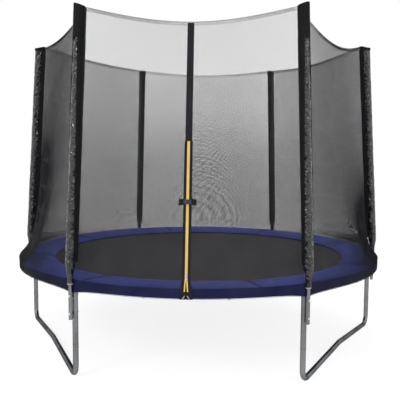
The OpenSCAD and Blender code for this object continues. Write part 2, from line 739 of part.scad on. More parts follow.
// Rows of [angle, height] over a panel: its closed edges have points at the angles in edges, and the
// mesh between them at the angles in cords
function net_sheet_top(a, middle) = net_top(a, middle) - net_hem_h - soft_gap;
function net_rows(edges, cords, middle) = concat([[for (a = edges) [a, net_low(a)]]],
    [for (z = [ring_z + 8, net_over_z, foam_full_z]) [for (a = edges) [a, z]]],
    [for (k = [0:2 * net_open_rows - 1]) [for (a = cords)
        [a, cord_edges(foam_full_z, net_sheet_top(a, middle), net_open_rows)[k]]]],
    [[for (a = edges) [a, net_sheet_top(a, middle)]]]);

// Triangles between a lower and an upper row, numbered on from first and next
function stitch(low, up, first, next, i = 0, j = 0) =
    let (low_end = i == len(low) - 1, up_end = j == len(up) - 1)
    low_end && up_end ? [] :
    up_end || (!low_end && low[i + 1][0] <= up[j + 1][0]) ?
        concat([[first + i, next + j, first + i + 1]], stitch(low, up, first, next, i + 1, j)) :
        concat([[first + i, next + j, next + j + 1]], stitch(low, up, first, next, i, j + 1));

// A thin sheet over the rows, with an opening in every other column of every other row of the mesh
module net_sheet(middle, door, edges, cords) {
    rows = net_rows(edges, cords, middle);
    last = len(rows) - 1;
    first_mesh = 4;
    function at(r, c) = c + min(r, first_mesh) * len(edges) + max(0, r - first_mesh) * len(cords);
    function skin(inset) = [for (row = rows) for (p = row)
        polar(net_r(p[0], p[1], door) - inset, middle + p[0], p[1])];
    function is_open(r, c) = (r - first_mesh) % 2 == 0 && c % 2 == 1;
    closed_strips = [for (r = [0:last - 1]) if (r < first_mesh || r == last - 1)
        each stitch(rows[r], rows[r + 1], at(r, 0), at(r + 1, 0))];
    mesh_strips = [for (r = [first_mesh:last - 2]) for (c = [0:len(cords) - 2]) if (!is_open(r, c))
        each [[at(r, c), at(r + 1, c), at(r + 1, c + 1)], [at(r, c), at(r + 1, c + 1), at(r, c + 1)]]];
    outer = concat(closed_strips, mesh_strips);
    half = at(last, 0) + len(edges);
    rim = concat([for (c = [0:len(edges) - 1]) at(0, c)],
        [for (r = [1:last - 1]) at(r, len(rows[r]) - 1)],
        [for (c = [len(edges) - 1:-1:0]) at(last, c)],
        [for (r = [last - 1:-1:1]) at(r, 0)]);
    holes = [for (r = [first_mesh:last - 2]) for (c = [0:len(cords) - 2]) if (is_open(r, c))
        [at(r, c), at(r + 1, c), at(r + 1, c + 1), at(r, c + 1)]];
    walls = [for (loop = concat([rim], holes)) for (k = [0:len(loop) - 1])
        let (p = loop[k], q = loop[(k + 1) % len(loop)]) each [[p, q, half + q], [p, half + q, half + p]]];
    color([0.12, 0.12, 0.13, 0.5]) polyhedron(concat(skin(0), skin(net_t)),
        concat(outer, [for (f = outer) [half + f[0], half + f[2], half + f[1]]], walls));
}

// The five closed panels, sewn to each other at the pole pockets
module net_wall() {
    edges = [for (j = [0:net_cols]) net_half_angle * (2 * j / net_cols - 1)];
    for (i = [0:pole_count - 2]) net_sheet(pole_step * (i - 0.5), false, edges, net_wall_cords);
}

// One half of the door, side -1 is the left half seen from outside
module net_door(side) {
    n = net_cols / 2;
    edges = [for (j = [0:n]) zip_angle + (net_half_angle - zip_angle) * j / n];
    function turned(angles) = side > 0 ? angles : [for (k = [len(angles) - 1:-1:0]) -angles[k]];
    net_sheet(270, true, turned(edges), turned(net_door_cords));
}

module net_hem() {
    function hem_row(lift, inset) = [for (i = [0:pole_count - 1]) for (j = [0:net_cols - 1])
        let (a = -pole_step / 2 + pole_step * j / net_cols, middle = 30 + pole_step * i,
            z = net_top(a, middle) - lift)
        polar(net_r(a, z, middle == 270) - inset, middle + a, z)];
    color([0.2, 0.2, 0.22]) sheet([for (lift = [net_hem_h, 0]) hem_row(lift, 0)],
        [for (lift = [net_hem_h, 0]) hem_row(lift, net_hem_t)], closed = true);
}

// Slack of a tie round the ring, and the half width and rise of the door's loop at its two ends
tie_slack = 1;
loop_foot = 23;
loop_lift = 2;
loop_head = 8;
loop_rise = 26;

// Elastic straps from the net's lower edge round the ring, and the white loop under the door
module net_ties() {
    wrap_r = frame_tube_d / 2 + tie_slack;
    low_z = net_low(pole_step / 6) - ring_z - soft_gap - net_t;
    reach = net_drop_r - net_t / 2 - ring_r;
    loop_y = -net_drop_r - webbing_t - loop_d / 2 - 2 * soft_gap;
    bend = [for (a = [-60:-20:-200]) [cos(a), sin(a)]];
    color("whitesmoke") {
        for (i = [0:pole_count - 1]) for (a = [pole_step / 3, pole_step * 2 / 3])
            rotate([0, 0, pole_step * i + a]) translate([ring_r, 0, ring_z]) upright_plane()
                linear_extrude(height = tie_w, center = true)
                    polygon(concat([[reach, low_z - tie_t], [reach, low_z]],
                        [for (p = bend) p * wrap_r],
                        [for (k = [len(bend) - 1:-1:0]) bend[k] * (wrap_r + tie_t)]));
        for (side = [-1, 1]) hull() {
            translate([side * loop_head, loop_y, net_low(0) + loop_rise]) sphere(d = loop_d, $fn = 16);
            translate([side * loop_foot, loop_y, net_low(0) + loop_lift]) sphere(d = loop_d, $fn = 16);
        }
    }
}

// ---- door ----

// Frame on the net's outer face at the door's centre line, z up the line and y into the net
module along_door() { translate([0, -net_drop_r, net_over_z]) rotate([-door_lean, 0, 0]) children(); }
function door_run(z) = (z - net_over_z) / cos(door_lean);

web_back = -soft_gap;
web_front = web_back - webbing_t;
zip_inner_x = zip_w / 2 + soft_gap;
zip_outer_x = zip_inner_x + zip_webbing_w;
// How far the webbing spreads at the zip's lower ends, its half gap below them, and the height it closes in
web_spread = 11.7;
web_foot = 15.7;
web_meet = 2;
web_close = 8;
teeth_w = 5;
teeth_t = 1;
teeth_front = web_front - teeth_t - fit_gap;
slider_w = 12;
slider_l = 22;
slider_t = 4.5;
slider_rail = 3;
pivot_drop = 5.5;
pivot_r = 1;
pull_w = 8;
pull_l = 32;
pull_t = 1.6;
pull_arm_l = 8;
pull_arm_w = 2;

// Point of a strip that lies off in front of the net, up the door's line and down over the pad's edge
function door_point(x, z, off) =
    z > net_over_z ? [x, -net_drop_r - off * cos(door_lean) + door_run(z) * sin(door_lean),
        z + off * sin(door_lean)] :
    [x, -net_drop_r - off, z == net_over_z ? z + off * tan(door_lean / 2) : z];

// Two mirrored strips beside the door's line, one row of [height, inner x, outer x] per bend from the top
module door_strips(rows) {
    for (side = [1, -1]) loft([for (row = rows) let (ring =
        [for (p = [[row[1], -web_back], [row[2], -web_back], [row[2], -web_front], [row[1], -web_front]])
            door_point(side * p[0], row[0], p[1])])
        side > 0 ? ring : [for (k = [3:-1:0]) ring[k]]]);
}

// Share of the zip's spread at height z: none at the slider and all at the zip's lower ends
function zip_share(z) = (zip_slider_z - z) / (zip_slider_z - zip_bottom_z);

module zip_webbing() {
    top = door_run(zip_top_z);
    band_top = door_run(door_top_z) - net_hem_h * 0.3;
    fold = zip_share(net_over_z);
    color([0.07, 0.07, 0.08]) {
        door_strips([[zip_top_z, zip_inner_x, zip_outer_x], [zip_slider_z, zip_inner_x, zip_outer_x],
            [net_over_z, zip_inner_x + zip_spread / 2 * fold, zip_outer_x + web_spread * fold],
            [zip_bottom_z - soft_gap, zip_inner_x + zip_spread / 2, zip_outer_x + web_spread],
            [zip_bottom_z - web_close, web_meet, zip_outer_x + web_spread],
            [net_low(0) + loop_lift, web_meet, zip_outer_x + web_foot]]);
        along_door() translate([-door_band_w / 2, web_front, top + soft_gap])
            cube([door_band_w, webbing_t, band_top - top - soft_gap]);
    }
}

module zip_tape() {
    top = door_run(zip_top_z);
    split = door_run(zip_slider_z);
    tape_gap = 0.2;
    fold = zip_share(net_over_z) * zip_spread / 2;
    color([0.95, 0.75, 0.25]) {
        along_door() {
            translate([-zip_w / 2, web_front, split]) cube([zip_w, webbing_t, top - split]);
            translate([-teeth_w / 2, web_front - teeth_t, split]) cube([teeth_w, teeth_t, top - split]);
        }
        door_strips([[zip_slider_z - fit_gap, tape_gap, zip_w / 2],
            [net_over_z, tape_gap + fold, zip_w / 2 + fold],
            [zip_bottom_z, zip_spread / 2, zip_w / 2 + zip_spread / 2]]);
    }
}

module zip_slider() {
    rail_t = 2;
    bridge_l = 7;
    pin_r = pivot_r + fit_gap;
    color("silver") along_door() translate([0, teeth_front, door_run(zip_slider_z)]) difference() {
        union() {
            translate([-slider_w / 2, rail_t - slider_t, 0])
                cube([slider_w, slider_t - rail_t, slider_l]);
            for (side = [-1, 1])
                translate([side * (slider_w - slider_rail) / 2 - slider_rail / 2, -rail_t / 2, 0])
                    cube([slider_rail, rail_t, slider_l]);
            translate([-slider_rail / 2, -slider_t, slider_l - pivot_drop - bridge_l / 2])
                cube([slider_rail, slider_t - rail_t / 4, bridge_l]);
        }
        translate([-pull_w, -slider_t, slider_l - pivot_drop]) rotate([0, 90, 0])
            cylinder(r = pin_r, h = 2 * pull_w, $fn = small_fn);
    }
}

module zip_pull() {
    pivot = door_run(zip_slider_z) + slider_l - pivot_drop;
    color("silver") along_door() translate([0, teeth_front - slider_t, pivot]) {
        translate([-pull_w / 2, 0, 0]) rotate([0, 90, 0])
            cylinder(r = pivot_r, h = pull_w, $fn = small_fn);
        for (side = [-1, 1])
            translate([side * (pull_w - pull_arm_w) / 2 - pull_arm_w / 2, -pivot_r, -pull_arm_l])
                cube([pull_arm_w, pull_t, pull_arm_l]);
        translate([-pull_w / 2, -pivot_r, -pull_l]) cube([pull_w, pull_t, pull_l - pull_arm_l]);
    }
}

buckle_w = 24;
buckle_h = 30;
buckle_t = 9;
button_d = 8;
tongue_l = 16;
tongue_h = 20;
tongue_t = 4;
prong_h = 5;
strap_t = 1.8;
strap_lift = 3;
strap_foot_l = 11;

// Frame with its origin at the back of the buckle, x across the door, y up, z outwards
module at_buckle() {
    along_door() translate([0, web_front - buckle_off, door_run(buckle_z)]) rotate([90, 0, 0]) children();
}

// How fast the net falls back from the door's line at the buckle, in mm for each mm across
net_fall = let (a = net_door_cords[1], r = net_r(a, buckle_z, true))
    (net_r(0, buckle_z, true) - r * cos(a)) / (r * sin(a));

// One end of the strap, from the buckle down to its foot on the net, as an x-z outline
module strap_half(side) {
    function foot(x) = soft_gap - buckle_off - webbing_t - net_fall * x;
    start = buckle_w - 2;
    end = strap_len / 2;
    heel = end - strap_foot_l;
    translate([0, strap_w / 2, 0]) rotate([90, 0, 0]) linear_extrude(height = strap_w)
        polygon([for (p = [[start, strap_lift], [heel - strap_foot_l, strap_lift], [heel, foot(heel)],
            [end, foot(end)], [end, foot(end) + strap_t], [heel + strap_t / 2, foot(heel) + strap_t],
            [heel - strap_foot_l + strap_t, strap_lift + strap_t], [start, strap_lift + strap_t]])
            [side * p[0], p[1]]]);
}

module buckle_socket() {
    color([0.06, 0.06, 0.06]) at_buckle() {
        difference() {
            translate([-buckle_w, -buckle_h / 2, 0]) cube([buckle_w, buckle_h, buckle_t]);
            translate([-tongue_l - lap, -tongue_h / 2 - fit_gap, (buckle_t - tongue_t) / 2 - fit_gap])
                cube([tongue_l + 2 * lap, tongue_h + 2 * fit_gap, tongue_t + 2 * fit_gap]);
            translate([-buckle_w / 2, 0, buckle_t / 2]) cylinder(d = button_d, h = buckle_t, $fn = small_fn);
        }
        strap_half(-1);
    }
}

module buckle_plug() {
    color([0.06, 0.06, 0.06]) at_buckle() {
        translate([fit_gap, -buckle_h / 2, 0]) cube([buckle_w - fit_gap, buckle_h, buckle_t]);
        for (side = [-1, 1])
            translate([-tongue_l, side * (tongue_h - prong_h) / 2 - prong_h / 2, (buckle_t - tongue_t) / 2])
                cube([tongue_l + lap, prong_h, tongue_t]);
        strap_half(1);
    }
}

// ---- all parts ----

rail(0);  // rail_right_back
rail(1);  // rail_back
rail(2);  // rail_left_back
rail(3);  // rail_left_front
rail(4);  // rail_front
rail(5);  // rail_right_front
t_sockets();
leg_base(3);  // leg_base_left
leg_base(5);  // leg_base_right
leg_base(1);  // leg_base_back
leg_uprights(3);  // leg_uprights_left
leg_uprights(5);  // leg_uprights_right
leg_uprights(1);  // leg_uprights_back
lower_pole(0);  // lower_pole_right
lower_pole(1);  // lower_pole_back_right
lower_pole(2);  // lower_pole_back_left
lower_pole(3);  // lower_pole_left
lower_pole(4);  // lower_pole_front_left
lower_pole(5);  // lower_pole_front_right
upper_pole(0);  // upper_pole_right
upper_pole(1);  // upper_pole_back_right
upper_pole(2);  // upper_pole_back_left
upper_pole(3);  // upper_pole_left
upper_pole(4);  // upper_pole_front_left
upper_pole(5);  // upper_pole_front_right
foam_sleeve(0);  // foam_sleeve_right
foam_sleeve(1);  // foam_sleeve_back_right
foam_sleeve(2);  // foam_sleeve_back_left
foam_sleeve(3);  // foam_sleeve_left
foam_sleeve(4);  // foam_sleeve_front_left
foam_sleeve(5);  // foam_sleeve_front_right
pad(1);  // pad_1
pad(2);  // pad_2
pad(3);  // pad_3
pad(4);  // pad_4
pad(5);  // pad_5
pad(6);  // pad_6
pad(7);  // pad_7
pad(8);  // pad_8
pad_skirt();
pole_caps();
pole_spacers();
pole_bolts();
frame_screws();
jumping_mat();
mat_hem();
v_rings();
springs();
net_wall();
net_door(-1);  // net_door_left
net_door(1);  // net_door_right
net_hem();
net_pole_pockets();
net_ties();
zip_webbing();
zip_tape();
zip_slider();
zip_pull();
buckle_socket();
buckle_plug();
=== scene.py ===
# %% [markdown]
# # A round garden trampoline with a safety net
#
# A ring of steel tube stands on three bent legs. Sixty springs pull a black mat tight inside the ring,
# a blue pad covers the springs, and six padded poles carry a fine black net with a zipped door.
#
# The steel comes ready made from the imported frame. This script adds what cloth, foam, wire and thread
# do: it makes every soft piece as a closed mesh of real thickness, and gives every piece its finish.

# %% Load the frame
import json
import math

import bmesh
import bpy
import numpy as np
from mathutils import Matrix, Vector, noise


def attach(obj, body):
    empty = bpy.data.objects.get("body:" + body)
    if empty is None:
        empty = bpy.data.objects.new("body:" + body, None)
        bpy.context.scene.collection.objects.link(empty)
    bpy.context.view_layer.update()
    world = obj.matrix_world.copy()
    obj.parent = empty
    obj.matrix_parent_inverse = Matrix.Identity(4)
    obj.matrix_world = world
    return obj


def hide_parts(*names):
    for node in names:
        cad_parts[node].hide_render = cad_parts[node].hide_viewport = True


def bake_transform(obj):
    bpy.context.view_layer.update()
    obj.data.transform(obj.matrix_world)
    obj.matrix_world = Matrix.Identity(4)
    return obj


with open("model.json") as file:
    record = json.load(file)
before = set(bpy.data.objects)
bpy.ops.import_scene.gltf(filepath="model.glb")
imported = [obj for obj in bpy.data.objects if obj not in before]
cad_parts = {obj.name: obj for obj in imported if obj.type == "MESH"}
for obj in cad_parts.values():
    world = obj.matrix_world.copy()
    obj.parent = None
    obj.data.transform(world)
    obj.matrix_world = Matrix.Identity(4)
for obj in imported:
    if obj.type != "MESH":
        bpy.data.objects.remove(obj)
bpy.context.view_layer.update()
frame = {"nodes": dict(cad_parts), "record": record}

# %% [markdown]
# ## Sizes
#
# All lengths are written in millimetres, as on a workshop drawing, and every mesh helper turns them into
# Blender's metres in one place. Angles are in degrees.

# %% The sizes that the soft pieces share with the steel
mm = 0.001
ring_z, ring_r = 640.0, 1506.0
pole_count, pole_step = 6, 60.0
pole_r, pole_lean = 1547.5, math.radians(3.6)
crank_z, crank_r = 690.0, 400.0
pole_top_z = 2440.0
crank_x = pole_r - crank_r * (1 - math.cos(pole_lean))
crank_end_z = crank_z + crank_r * math.sin(pole_lean)
lean_z = crank_z + crank_r * math.tan(pole_lean / 2)
pole_run = (pole_top_z - crank_end_z) / math.cos(pole_lean)
foam_d, neck_d, foam_low_z, neck_z, foam_full_z = 72.0, 40.0, 645.0, 700.0, 790.0
mat_r, mat_t = 1299.9, 2.0
spring_in_r, spring_out_r, spring_body = 1336.5, 1491.5, 110.0
spring_count, ring_depth, ring_w = 60, 34.0, 44.0
ring_base_r = 1302.2
pad_inner_r, pad_outer_r, pad_rim_z, pad_t = 1234.9, 1527.5, 662.1, 17.0
pad_edge_z = 676.1
skirt_r = 1531.06
net_r0, net_over_z = 1532.56, 682.1
net_top_z, net_sag, hem_h = 2458.0, 98.0, 24.0
# Each panel sags by its own share of the door's sag, from the right back panel round
sag_shares = [0.5, 0.5, 0.25, 0.5, 1.0, 1.1]
print("pole run", round(pole_run, 1), "crank end", round(crank_x, 1), round(crank_end_z, 1))

# %% [markdown]
# ## Where the cloth hangs
#
# The net is one rule-shaped surface. At each pole it follows the padded pole, between the poles it is
# pulled nearly straight, and low down it swells out to the round pad that it hangs over. Writing that rule
# once as a function lets the threads, the top hem and the door all lie on the same surface.

# %% The surface of the net
def pole_axis_r(z):
    return pole_r - np.maximum(0, z - lean_z) * math.tan(pole_lean)


def net_pole_r(z):
    t = np.clip((z - net_over_z) / (foam_full_z - net_over_z), 0, 1)
    top = pole_axis_r(z) - (foam_d / 2 + 20) / math.cos(pole_lean) - 0.3
    return net_r0 + (top - net_r0) * t * (2 - t)


flat_share = math.cos(math.radians(pole_step / 2))
door_top_z = net_top_z - net_sag
door_top_r = float(net_pole_r(door_top_z)) * flat_share
door_lean = math.atan((net_r0 - door_top_r) / (door_top_z - net_over_z))


def net_radius(a, z, door=False):
    """Radius of the net a degrees from the middle of a panel, at height z."""
    a, z = np.asarray(a, float), np.asarray(z, float)
    flat = flat_share / np.cos(np.radians(a))
    bulge = np.exp(-np.maximum(0, z - net_over_z) / 450)
    if door:
        line = (net_r0 - np.maximum(0, z - net_over_z) * math.tan(door_lean)) / net_pole_r(z)
        near = np.cos(np.radians(180 * a / pole_step)) ** 2
        bulge = near * (line - flat_share) / (1 - flat_share) + (1 - near) * bulge
    return net_pole_r(z) * (flat + (1 - flat) * bulge)


def skirt_low(a):
    """Lower edge of the skirt at compass angle a: it dips where a pole passes."""
    share = np.abs((np.asarray(a, float) % pole_step) / pole_step * 2 - 1)
    return pad_edge_z - 62 - 26 * share ** 7


def net_low(a):
    return skirt_low(a + pole_step / 2) - 6


def net_top(a, middle):
    """Height of the net's top edge, a degrees from the middle of the panel at compass angle middle."""
    sag = net_sag * sag_shares[int(middle // pole_step)]
    return net_top_z - sag * (1 - (2 * np.asarray(a, float) / pole_step) ** 2)


def polar(r, a, z):
    """Points in millimetres from radius, compass angle in degrees and height."""
    r, a, z = np.broadcast_arrays(np.asarray(r, float), np.radians(np.asarray(a, float)), z)
    return np.stack([r * np.cos(a), r * np.sin(a), z], axis=-1)


print("door leans", round(math.degrees(door_lean), 2), "degrees")

# %% [markdown]
# ## Camera, floor and light
#
# A camera a little above chest height looks slightly down at the trampoline from its door side. The floor
# and the world are plain white. Their lighting of the object stays at a plain level, and only what the
# camera, a mirror-like gloss or a clear piece sees of them is full white.

# %% The camera
def aim_camera(place, yaw, pitch, roll, focal_px, centre_px, width_px=400):
    yaw, pitch, roll = (math.radians(v) for v in (yaw, pitch, roll))
    ahead = Vector((math.sin(yaw) * math.cos(pitch), math.cos(yaw) * math.cos(pitch), math.sin(pitch)))
    right = Vector((math.cos(yaw), -math.sin(yaw), 0))
    up = right.cross(ahead)
    right, up = (math.cos(roll) * right + math.sin(roll) * up,
                 math.cos(roll) * up - math.sin(roll) * right)
    camera = bpy.data.objects.new("camera", bpy.data.cameras.new("camera"))
    bpy.context.scene.collection.objects.link(camera)
    turn = Matrix((right, up, -ahead)).transposed()
    camera.matrix_world = Matrix.Translation(place) @ turn.to_4x4()
    camera.data.sensor_width = 36
    camera.data.lens = 36 * focal_px / width_px
    camera.data.shift_x = -(centre_px[0] - width_px / 2) / width_px
    camera.data.shift_y = (centre_px[1] - width_px / 2) / width_px
    camera.data.clip_end = 200
    bpy.context.scene.camera = camera
    return camera


camera = aim_camera((0.243, -4.640, 1.450), yaw=-2.29, pitch=-4.19, roll=0.42,
                    focal_px=518, centre_px=(206, 200))
print("lens", round(camera.data.lens, 2), "mm")

# %% Helpers for node trees
def add(tree, kind, inputs=None, **settings):
    """Adds a node, sets its options, and fills or links its inputs."""
    new = tree.nodes.new(kind)
    for key, value in settings.items():
        setattr(new, key, value)
    for key, value in (inputs or {}).items():
        if isinstance(value, bpy.types.NodeSocket):
            tree.links.new(value, new.inputs[key])
        else:
            new.inputs[key].default_value = value
    return new


def seen_directly(tree):
    """1 for rays from the camera, a glossy surface or a clear one, and 0 for rays that light."""
    path = add(tree, "ShaderNodeLightPath").outputs
    two = add(tree, "ShaderNodeMath", {0: path["Is Camera Ray"], 1: path["Is Glossy Ray"]},
              operation="MAXIMUM").outputs[0]
    return add(tree, "ShaderNodeMath", {0: two, 1: path["Is Transmission Ray"]},
               operation="MAXIMUM").outputs[0]


# %% [markdown]
# The studio is white all round. The camera, glossy surfaces and clear ones see the same white, and the light
# that reaches everything else is softer, so that colours render as they are written. The floor is full white
# far away, so it has no horizon, and near the object it still takes a faint shadow.

# %% The world and the floor
world = bpy.data.worlds.new("studio")
bpy.context.scene.world = world
world.use_nodes = True
tree = world.node_tree
tree.nodes.clear()
lighting = add(tree, "ShaderNodeBackground", {"Color": (1, 1, 1, 1), "Strength": 0.62})
seen = add(tree, "ShaderNodeBackground", {"Color": (1, 1, 1, 1), "Strength": 1.0})
mixed = add(tree, "ShaderNodeMixShader", {0: seen_directly(tree), 1: lighting.outputs[0],
                                          2: seen.outputs[0]})
add(tree, "ShaderNodeOutputWorld", {"Surface": mixed.outputs[0]})

floor_shadow_m, floor_white_m = 2.2, 5.5  # the shadow's reach, and where the floor is full white
floor_finish = bpy.data.materials.new("pale_floor")
floor_finish.use_nodes = True
tree = floor_finish.node_tree
tree.nodes.clear()
distance = add(tree, "ShaderNodeVectorMath", {0: add(tree, "ShaderNodeTexCoord").outputs["Object"]},
               operation="LENGTH").outputs["Value"]
far = add(tree, "ShaderNodeMapRange", {"Value": distance, "From Min": floor_shadow_m,
                                       "From Max": floor_white_m}, interpolation_type="SMOOTHSTEP").outputs[0]
lit = add(tree, "ShaderNodeBsdfDiffuse", {"Color": (0.8, 0.8, 0.8, 1)})
shade = add(tree, "ShaderNodeBsdfDiffuse", {"Color": (0.32, 0.32, 0.32, 1)})
glow = add(tree, "ShaderNodeEmission", {"Color": (1, 1, 1, 1), "Strength": 0.84})
near = add(tree, "ShaderNodeAddShader", {0: shade.outputs[0], 1: glow.outputs[0]})
full = add(tree, "ShaderNodeEmission", {"Color": (1, 1, 1, 1), "Strength": 1.0})
white = add(tree, "ShaderNodeMixShader", {0: far, 1: near.outputs[0], 2: full.outputs[0]})
mixed = add(tree, "ShaderNodeMixShader", {0: seen_directly(tree), 1: lit.outputs[0], 2: white.outputs[0]})
add(tree, "ShaderNodeOutputMaterial", {"Surface": mixed.outputs[0]})

floor_mesh = bpy.data.meshes.new("floor")
floor_mesh.from_pydata([(-9, -9, 0), (9, -9, 0), (9, 9, 0), (-9, 9, 0)], [], [(0, 1, 2, 3)])
floor_mesh.materials.append(floor_finish)
floor = bpy.data.objects.new("floor", floor_mesh)
floor.location.z = -0.001
bpy.context.scene.collection.objects.link(floor)
bpy.context.scene.view_settings.view_transform = "Standard"
print("floor full white from", floor_white_m, "m")

# %% [markdown]
# Three broad boxes light the trampoline softly: a key on the left, a fill on the right and one behind. Four
# narrow upright strips add little light of their own, but shiny film mirrors them as thin bright glints.

# %% The lamps
def softbox(name, place, wide, high, watts):
    lamp = bpy.data.lights.new(name, "AREA")
    lamp.shape, lamp.size, lamp.size_y, lamp.energy = "RECTANGLE", wide, high, watts
    box = bpy.data.objects.new(name, lamp)
    box.location = place
    box.rotation_euler = (Vector((0, 0, 1.1)) - Vector(place)).to_track_quat("-Z", "Y").to_euler()
    bpy.context.scene.collection.objects.link(box)
    return box


for name, place, wide, high, watts in (("key", (-4.5, -6.5, 5.5), 2.4, 2.4, 210),
                                       ("fill", (6.0, -5.0, 3.5), 3.0, 3.0, 80),
                                       ("back", (1.5, 6.5, 5.5), 3.0, 3.0, 120),
                                       ("left_strip", (-3.6, -4.9, 1.5), 0.08, 2.4, 7),
                                       ("right_strip", (3.9, -4.7, 1.5), 0.08, 2.4, 10),
                                       ("front_strip_left", (-1.7, -7.4, 1.3), 0.12, 2.6, 12),
                                       ("front_strip_right", (1.9, -7.4, 1.3), 0.12, 2.6, 12)):
    print(softbox(name, place, wide, high, watts).name, watts, "W")

# %% [markdown]
# ## Finishes
#
# Each finish is one material built from nodes: a base colour broken up by noise, a roughness that varies,
# and a relief that gives weave, grain or creases their real scale. Patterns read Object coordinates, so they
# stay put on the piece, or the piece's own UV map, called cloth, which is laid out in metres.

# %% Helpers for finishes
def start_finish(name, colour, roughness, **sockets):
    finish = bpy.data.materials.new(name)
    finish.use_nodes = True
    skin = finish.node_tree.nodes["Principled BSDF"]
    skin.inputs["Base Color"].default_value = (*colour, 1)
    skin.inputs["Roughness"].default_value = roughness
    for key, value in sockets.items():
        skin.inputs[key.replace("_", " ")].default_value = value
    return finish, finish.node_tree, skin


def on_object(tree, scale=(1, 1, 1), turn=(0, 0, 0)):
    place = add(tree, "ShaderNodeTexCoord").outputs["Object"]
    return add(tree, "ShaderNodeMapping", {"Vector": place, "Scale": scale, "Rotation": turn}).outputs[0]


def on_cloth(tree, scale=(1, 1, 1)):
    place = add(tree, "ShaderNodeUVMap", uv_map="cloth").outputs[0]
    return add(tree, "ShaderNodeMapping", {"Vector": place, "Scale": scale}).outputs[0]


def cloudy(tree, where, scale, detail=4, roughness=0.55):
    return add(tree, "ShaderNodeTexNoise", {"Vector": where, "Scale": scale, "Detail": detail,
                                            "Roughness": roughness}).outputs[0]


def ramp(tree, value, *stops):
    """A colour ramp through (position, colour) stops."""
    band = add(tree, "ShaderNodeValToRGB", {"Fac": value})
    while len(band.color_ramp.elements) < len(stops):
        band.color_ramp.elements.new(0.5)
    for element, (place, colour) in zip(band.color_ramp.elements, stops):
        element.position = place
        element.color = (*colour, 1)
    return band.outputs[0]


def spread(tree, value, low, high, from_low=0.3, from_high=0.7):
    return add(tree, "ShaderNodeMapRange", {"Value": value, "From Min": from_low, "From Max": from_high,
                                            "To Min": low, "To Max": high}).outputs[0]


def combine(tree, a, b, how="ADD"):
    return add(tree, "ShaderNodeMath", {0: a, 1: b}, operation=how).outputs[0]


def weave(tree, where, pitch):
    """Height of a plain weave whose threads lie pitch metres apart."""
    bands = [add(tree, "ShaderNodeTexWave", {"Vector": where, "Scale": math.pi / 10 / pitch},
                 wave_type="BANDS", bands_direction=way).outputs[1] for way in "XY"]
    return combine(tree, bands[0], bands[1], "MAXIMUM")


def relief(tree, skin, height, distance, strength=0.6):
    bump = add(tree, "ShaderNodeBump", {"Height": height, "Distance": distance, "Strength": strength})
    tree.links.new(bump.outputs[0], skin.inputs["Normal"])
    return bump


finishes = {}

# %% [markdown]
# The frame is galvanised: zinc crystals give the tube a faint spangle of lighter and darker patches, and
# handling leaves duller smears. Voronoi cells make the spangle and noise makes the smears.

# %% Galvanised steel and zinc
def galvanised(name, colour, roughness, spangle):
    # The edge tint of 0.3 darkens every metal rim: painted shade for dark surroundings mirrored at a grazing
    # angle.
    finish, tree, skin = start_finish(name, colour, roughness, Metallic=1.0, Specular_Tint=(0.3, 0.3, 0.3, 1))
    where = on_object(tree)
    cells = add(tree, "ShaderNodeTexVoronoi", {"Vector": where, "Scale": 1 / spangle}).outputs["Color"]
    grey = add(tree, "ShaderNodeSeparateColor", {"Color": cells}).outputs[0]
    smear = cloudy(tree, on_object(tree, (1, 1, 0.35)), 9)
    tone = combine(tree, combine(tree, grey, 0.18, "MULTIPLY"), smear)
    low, high = (tuple(c * k for c in colour) for k in (0.66, 1.15))
    tree.links.new(ramp(tree, tone, (0.35, low), (0.78, high)), skin.inputs["Base Color"])
    tree.links.new(spread(tree, tone, roughness - 0.07, roughness + 0.12, 0.35, 0.8),
                   skin.inputs["Roughness"])
    relief(tree, skin, cloudy(tree, where, 260, 2), 0.0002, 0.35)
    return finish


# Painted shade: the frame's base colour is set far darker than zinc, standing for the dark surroundings the
# tube mirrors; the bolts and the zip keep zinc's pale grey.
finishes["galvanised_steel"] = galvanised("galvanised_steel", (0.21, 0.213, 0.222), 0.24, 0.008)
finishes["zinc_bolts"] = galvanised("zinc_bolts", (0.66, 0.66, 0.67), 0.24, 0.003)
finishes["zip_metal"] = galvanised("zip_metal", (0.6, 0.6, 0.61), 0.22, 0.002)
print(sorted(finishes))

# %% [markdown]
# Moulded caps, spacers and the buckle are black plastic with a fine spark-eroded grain.

# %% Black plastic
finish, tree, skin = start_finish("black_plastic", (0.02, 0.02, 0.021), 0.46)
where = on_object(tree)
tree.links.new(ramp(tree, cloudy(tree, where, 40), (0.3, (0.016, 0.016, 0.017)),
                    (0.75, (0.032, 0.032, 0.033))),
               skin.inputs["Base Color"])
tree.links.new(spread(tree, cloudy(tree, where, 14), 0.38, 0.56), skin.inputs["Roughness"])
relief(tree, skin, cloudy(tree, where, 1400, 3), 0.0002, 0.5)
finishes["black_plastic"] = finish
print("finish", finish.name, "ready")

# %% [markdown]
# The foam sleeves are wrapped in a thin glossy film. It creases sharply where it bends, so the relief is a
# stretched noise with hard folds, and a clear coat gives the small bright glints.

# %% The sleeve's film and the grey foam
finish, tree, skin = start_finish("foam_cover", (0.01, 0.01, 0.011), 0.3, Coat_Weight=1.0,
                                  Coat_Roughness=0.07, Specular_IOR_Level=0.2)
creases = add(tree, "ShaderNodeTexNoise", {"Vector": on_object(tree, (1, 1, 1.7)), "Scale": 15, "Detail": 1.6,
                                           "Roughness": 0.5, "Distortion": 1.6},
                                           noise_type="RIDGED_MULTIFRACTAL",
              normalize=True).outputs[0]
tree.links.new(ramp(tree, creases, (0.25, (0.004, 0.004, 0.005)), (0.8, (0.018, 0.018, 0.02))),
               skin.inputs["Base Color"])
tree.links.new(spread(tree, cloudy(tree, on_object(tree), 30), 0.24, 0.4), skin.inputs["Roughness"])
bump = relief(tree, skin, creases, 0.045, 1.0)
tree.links.new(bump.outputs[0], skin.inputs["Coat Normal"])
height = add(tree, "ShaderNodeSeparateXYZ", {0: on_object(tree)}).outputs["Z"]
tree.links.new(spread(tree, height, 0.3, 0.07, 0.75, 1.35), skin.inputs["Coat Roughness"])
finishes["foam_cover"] = finish

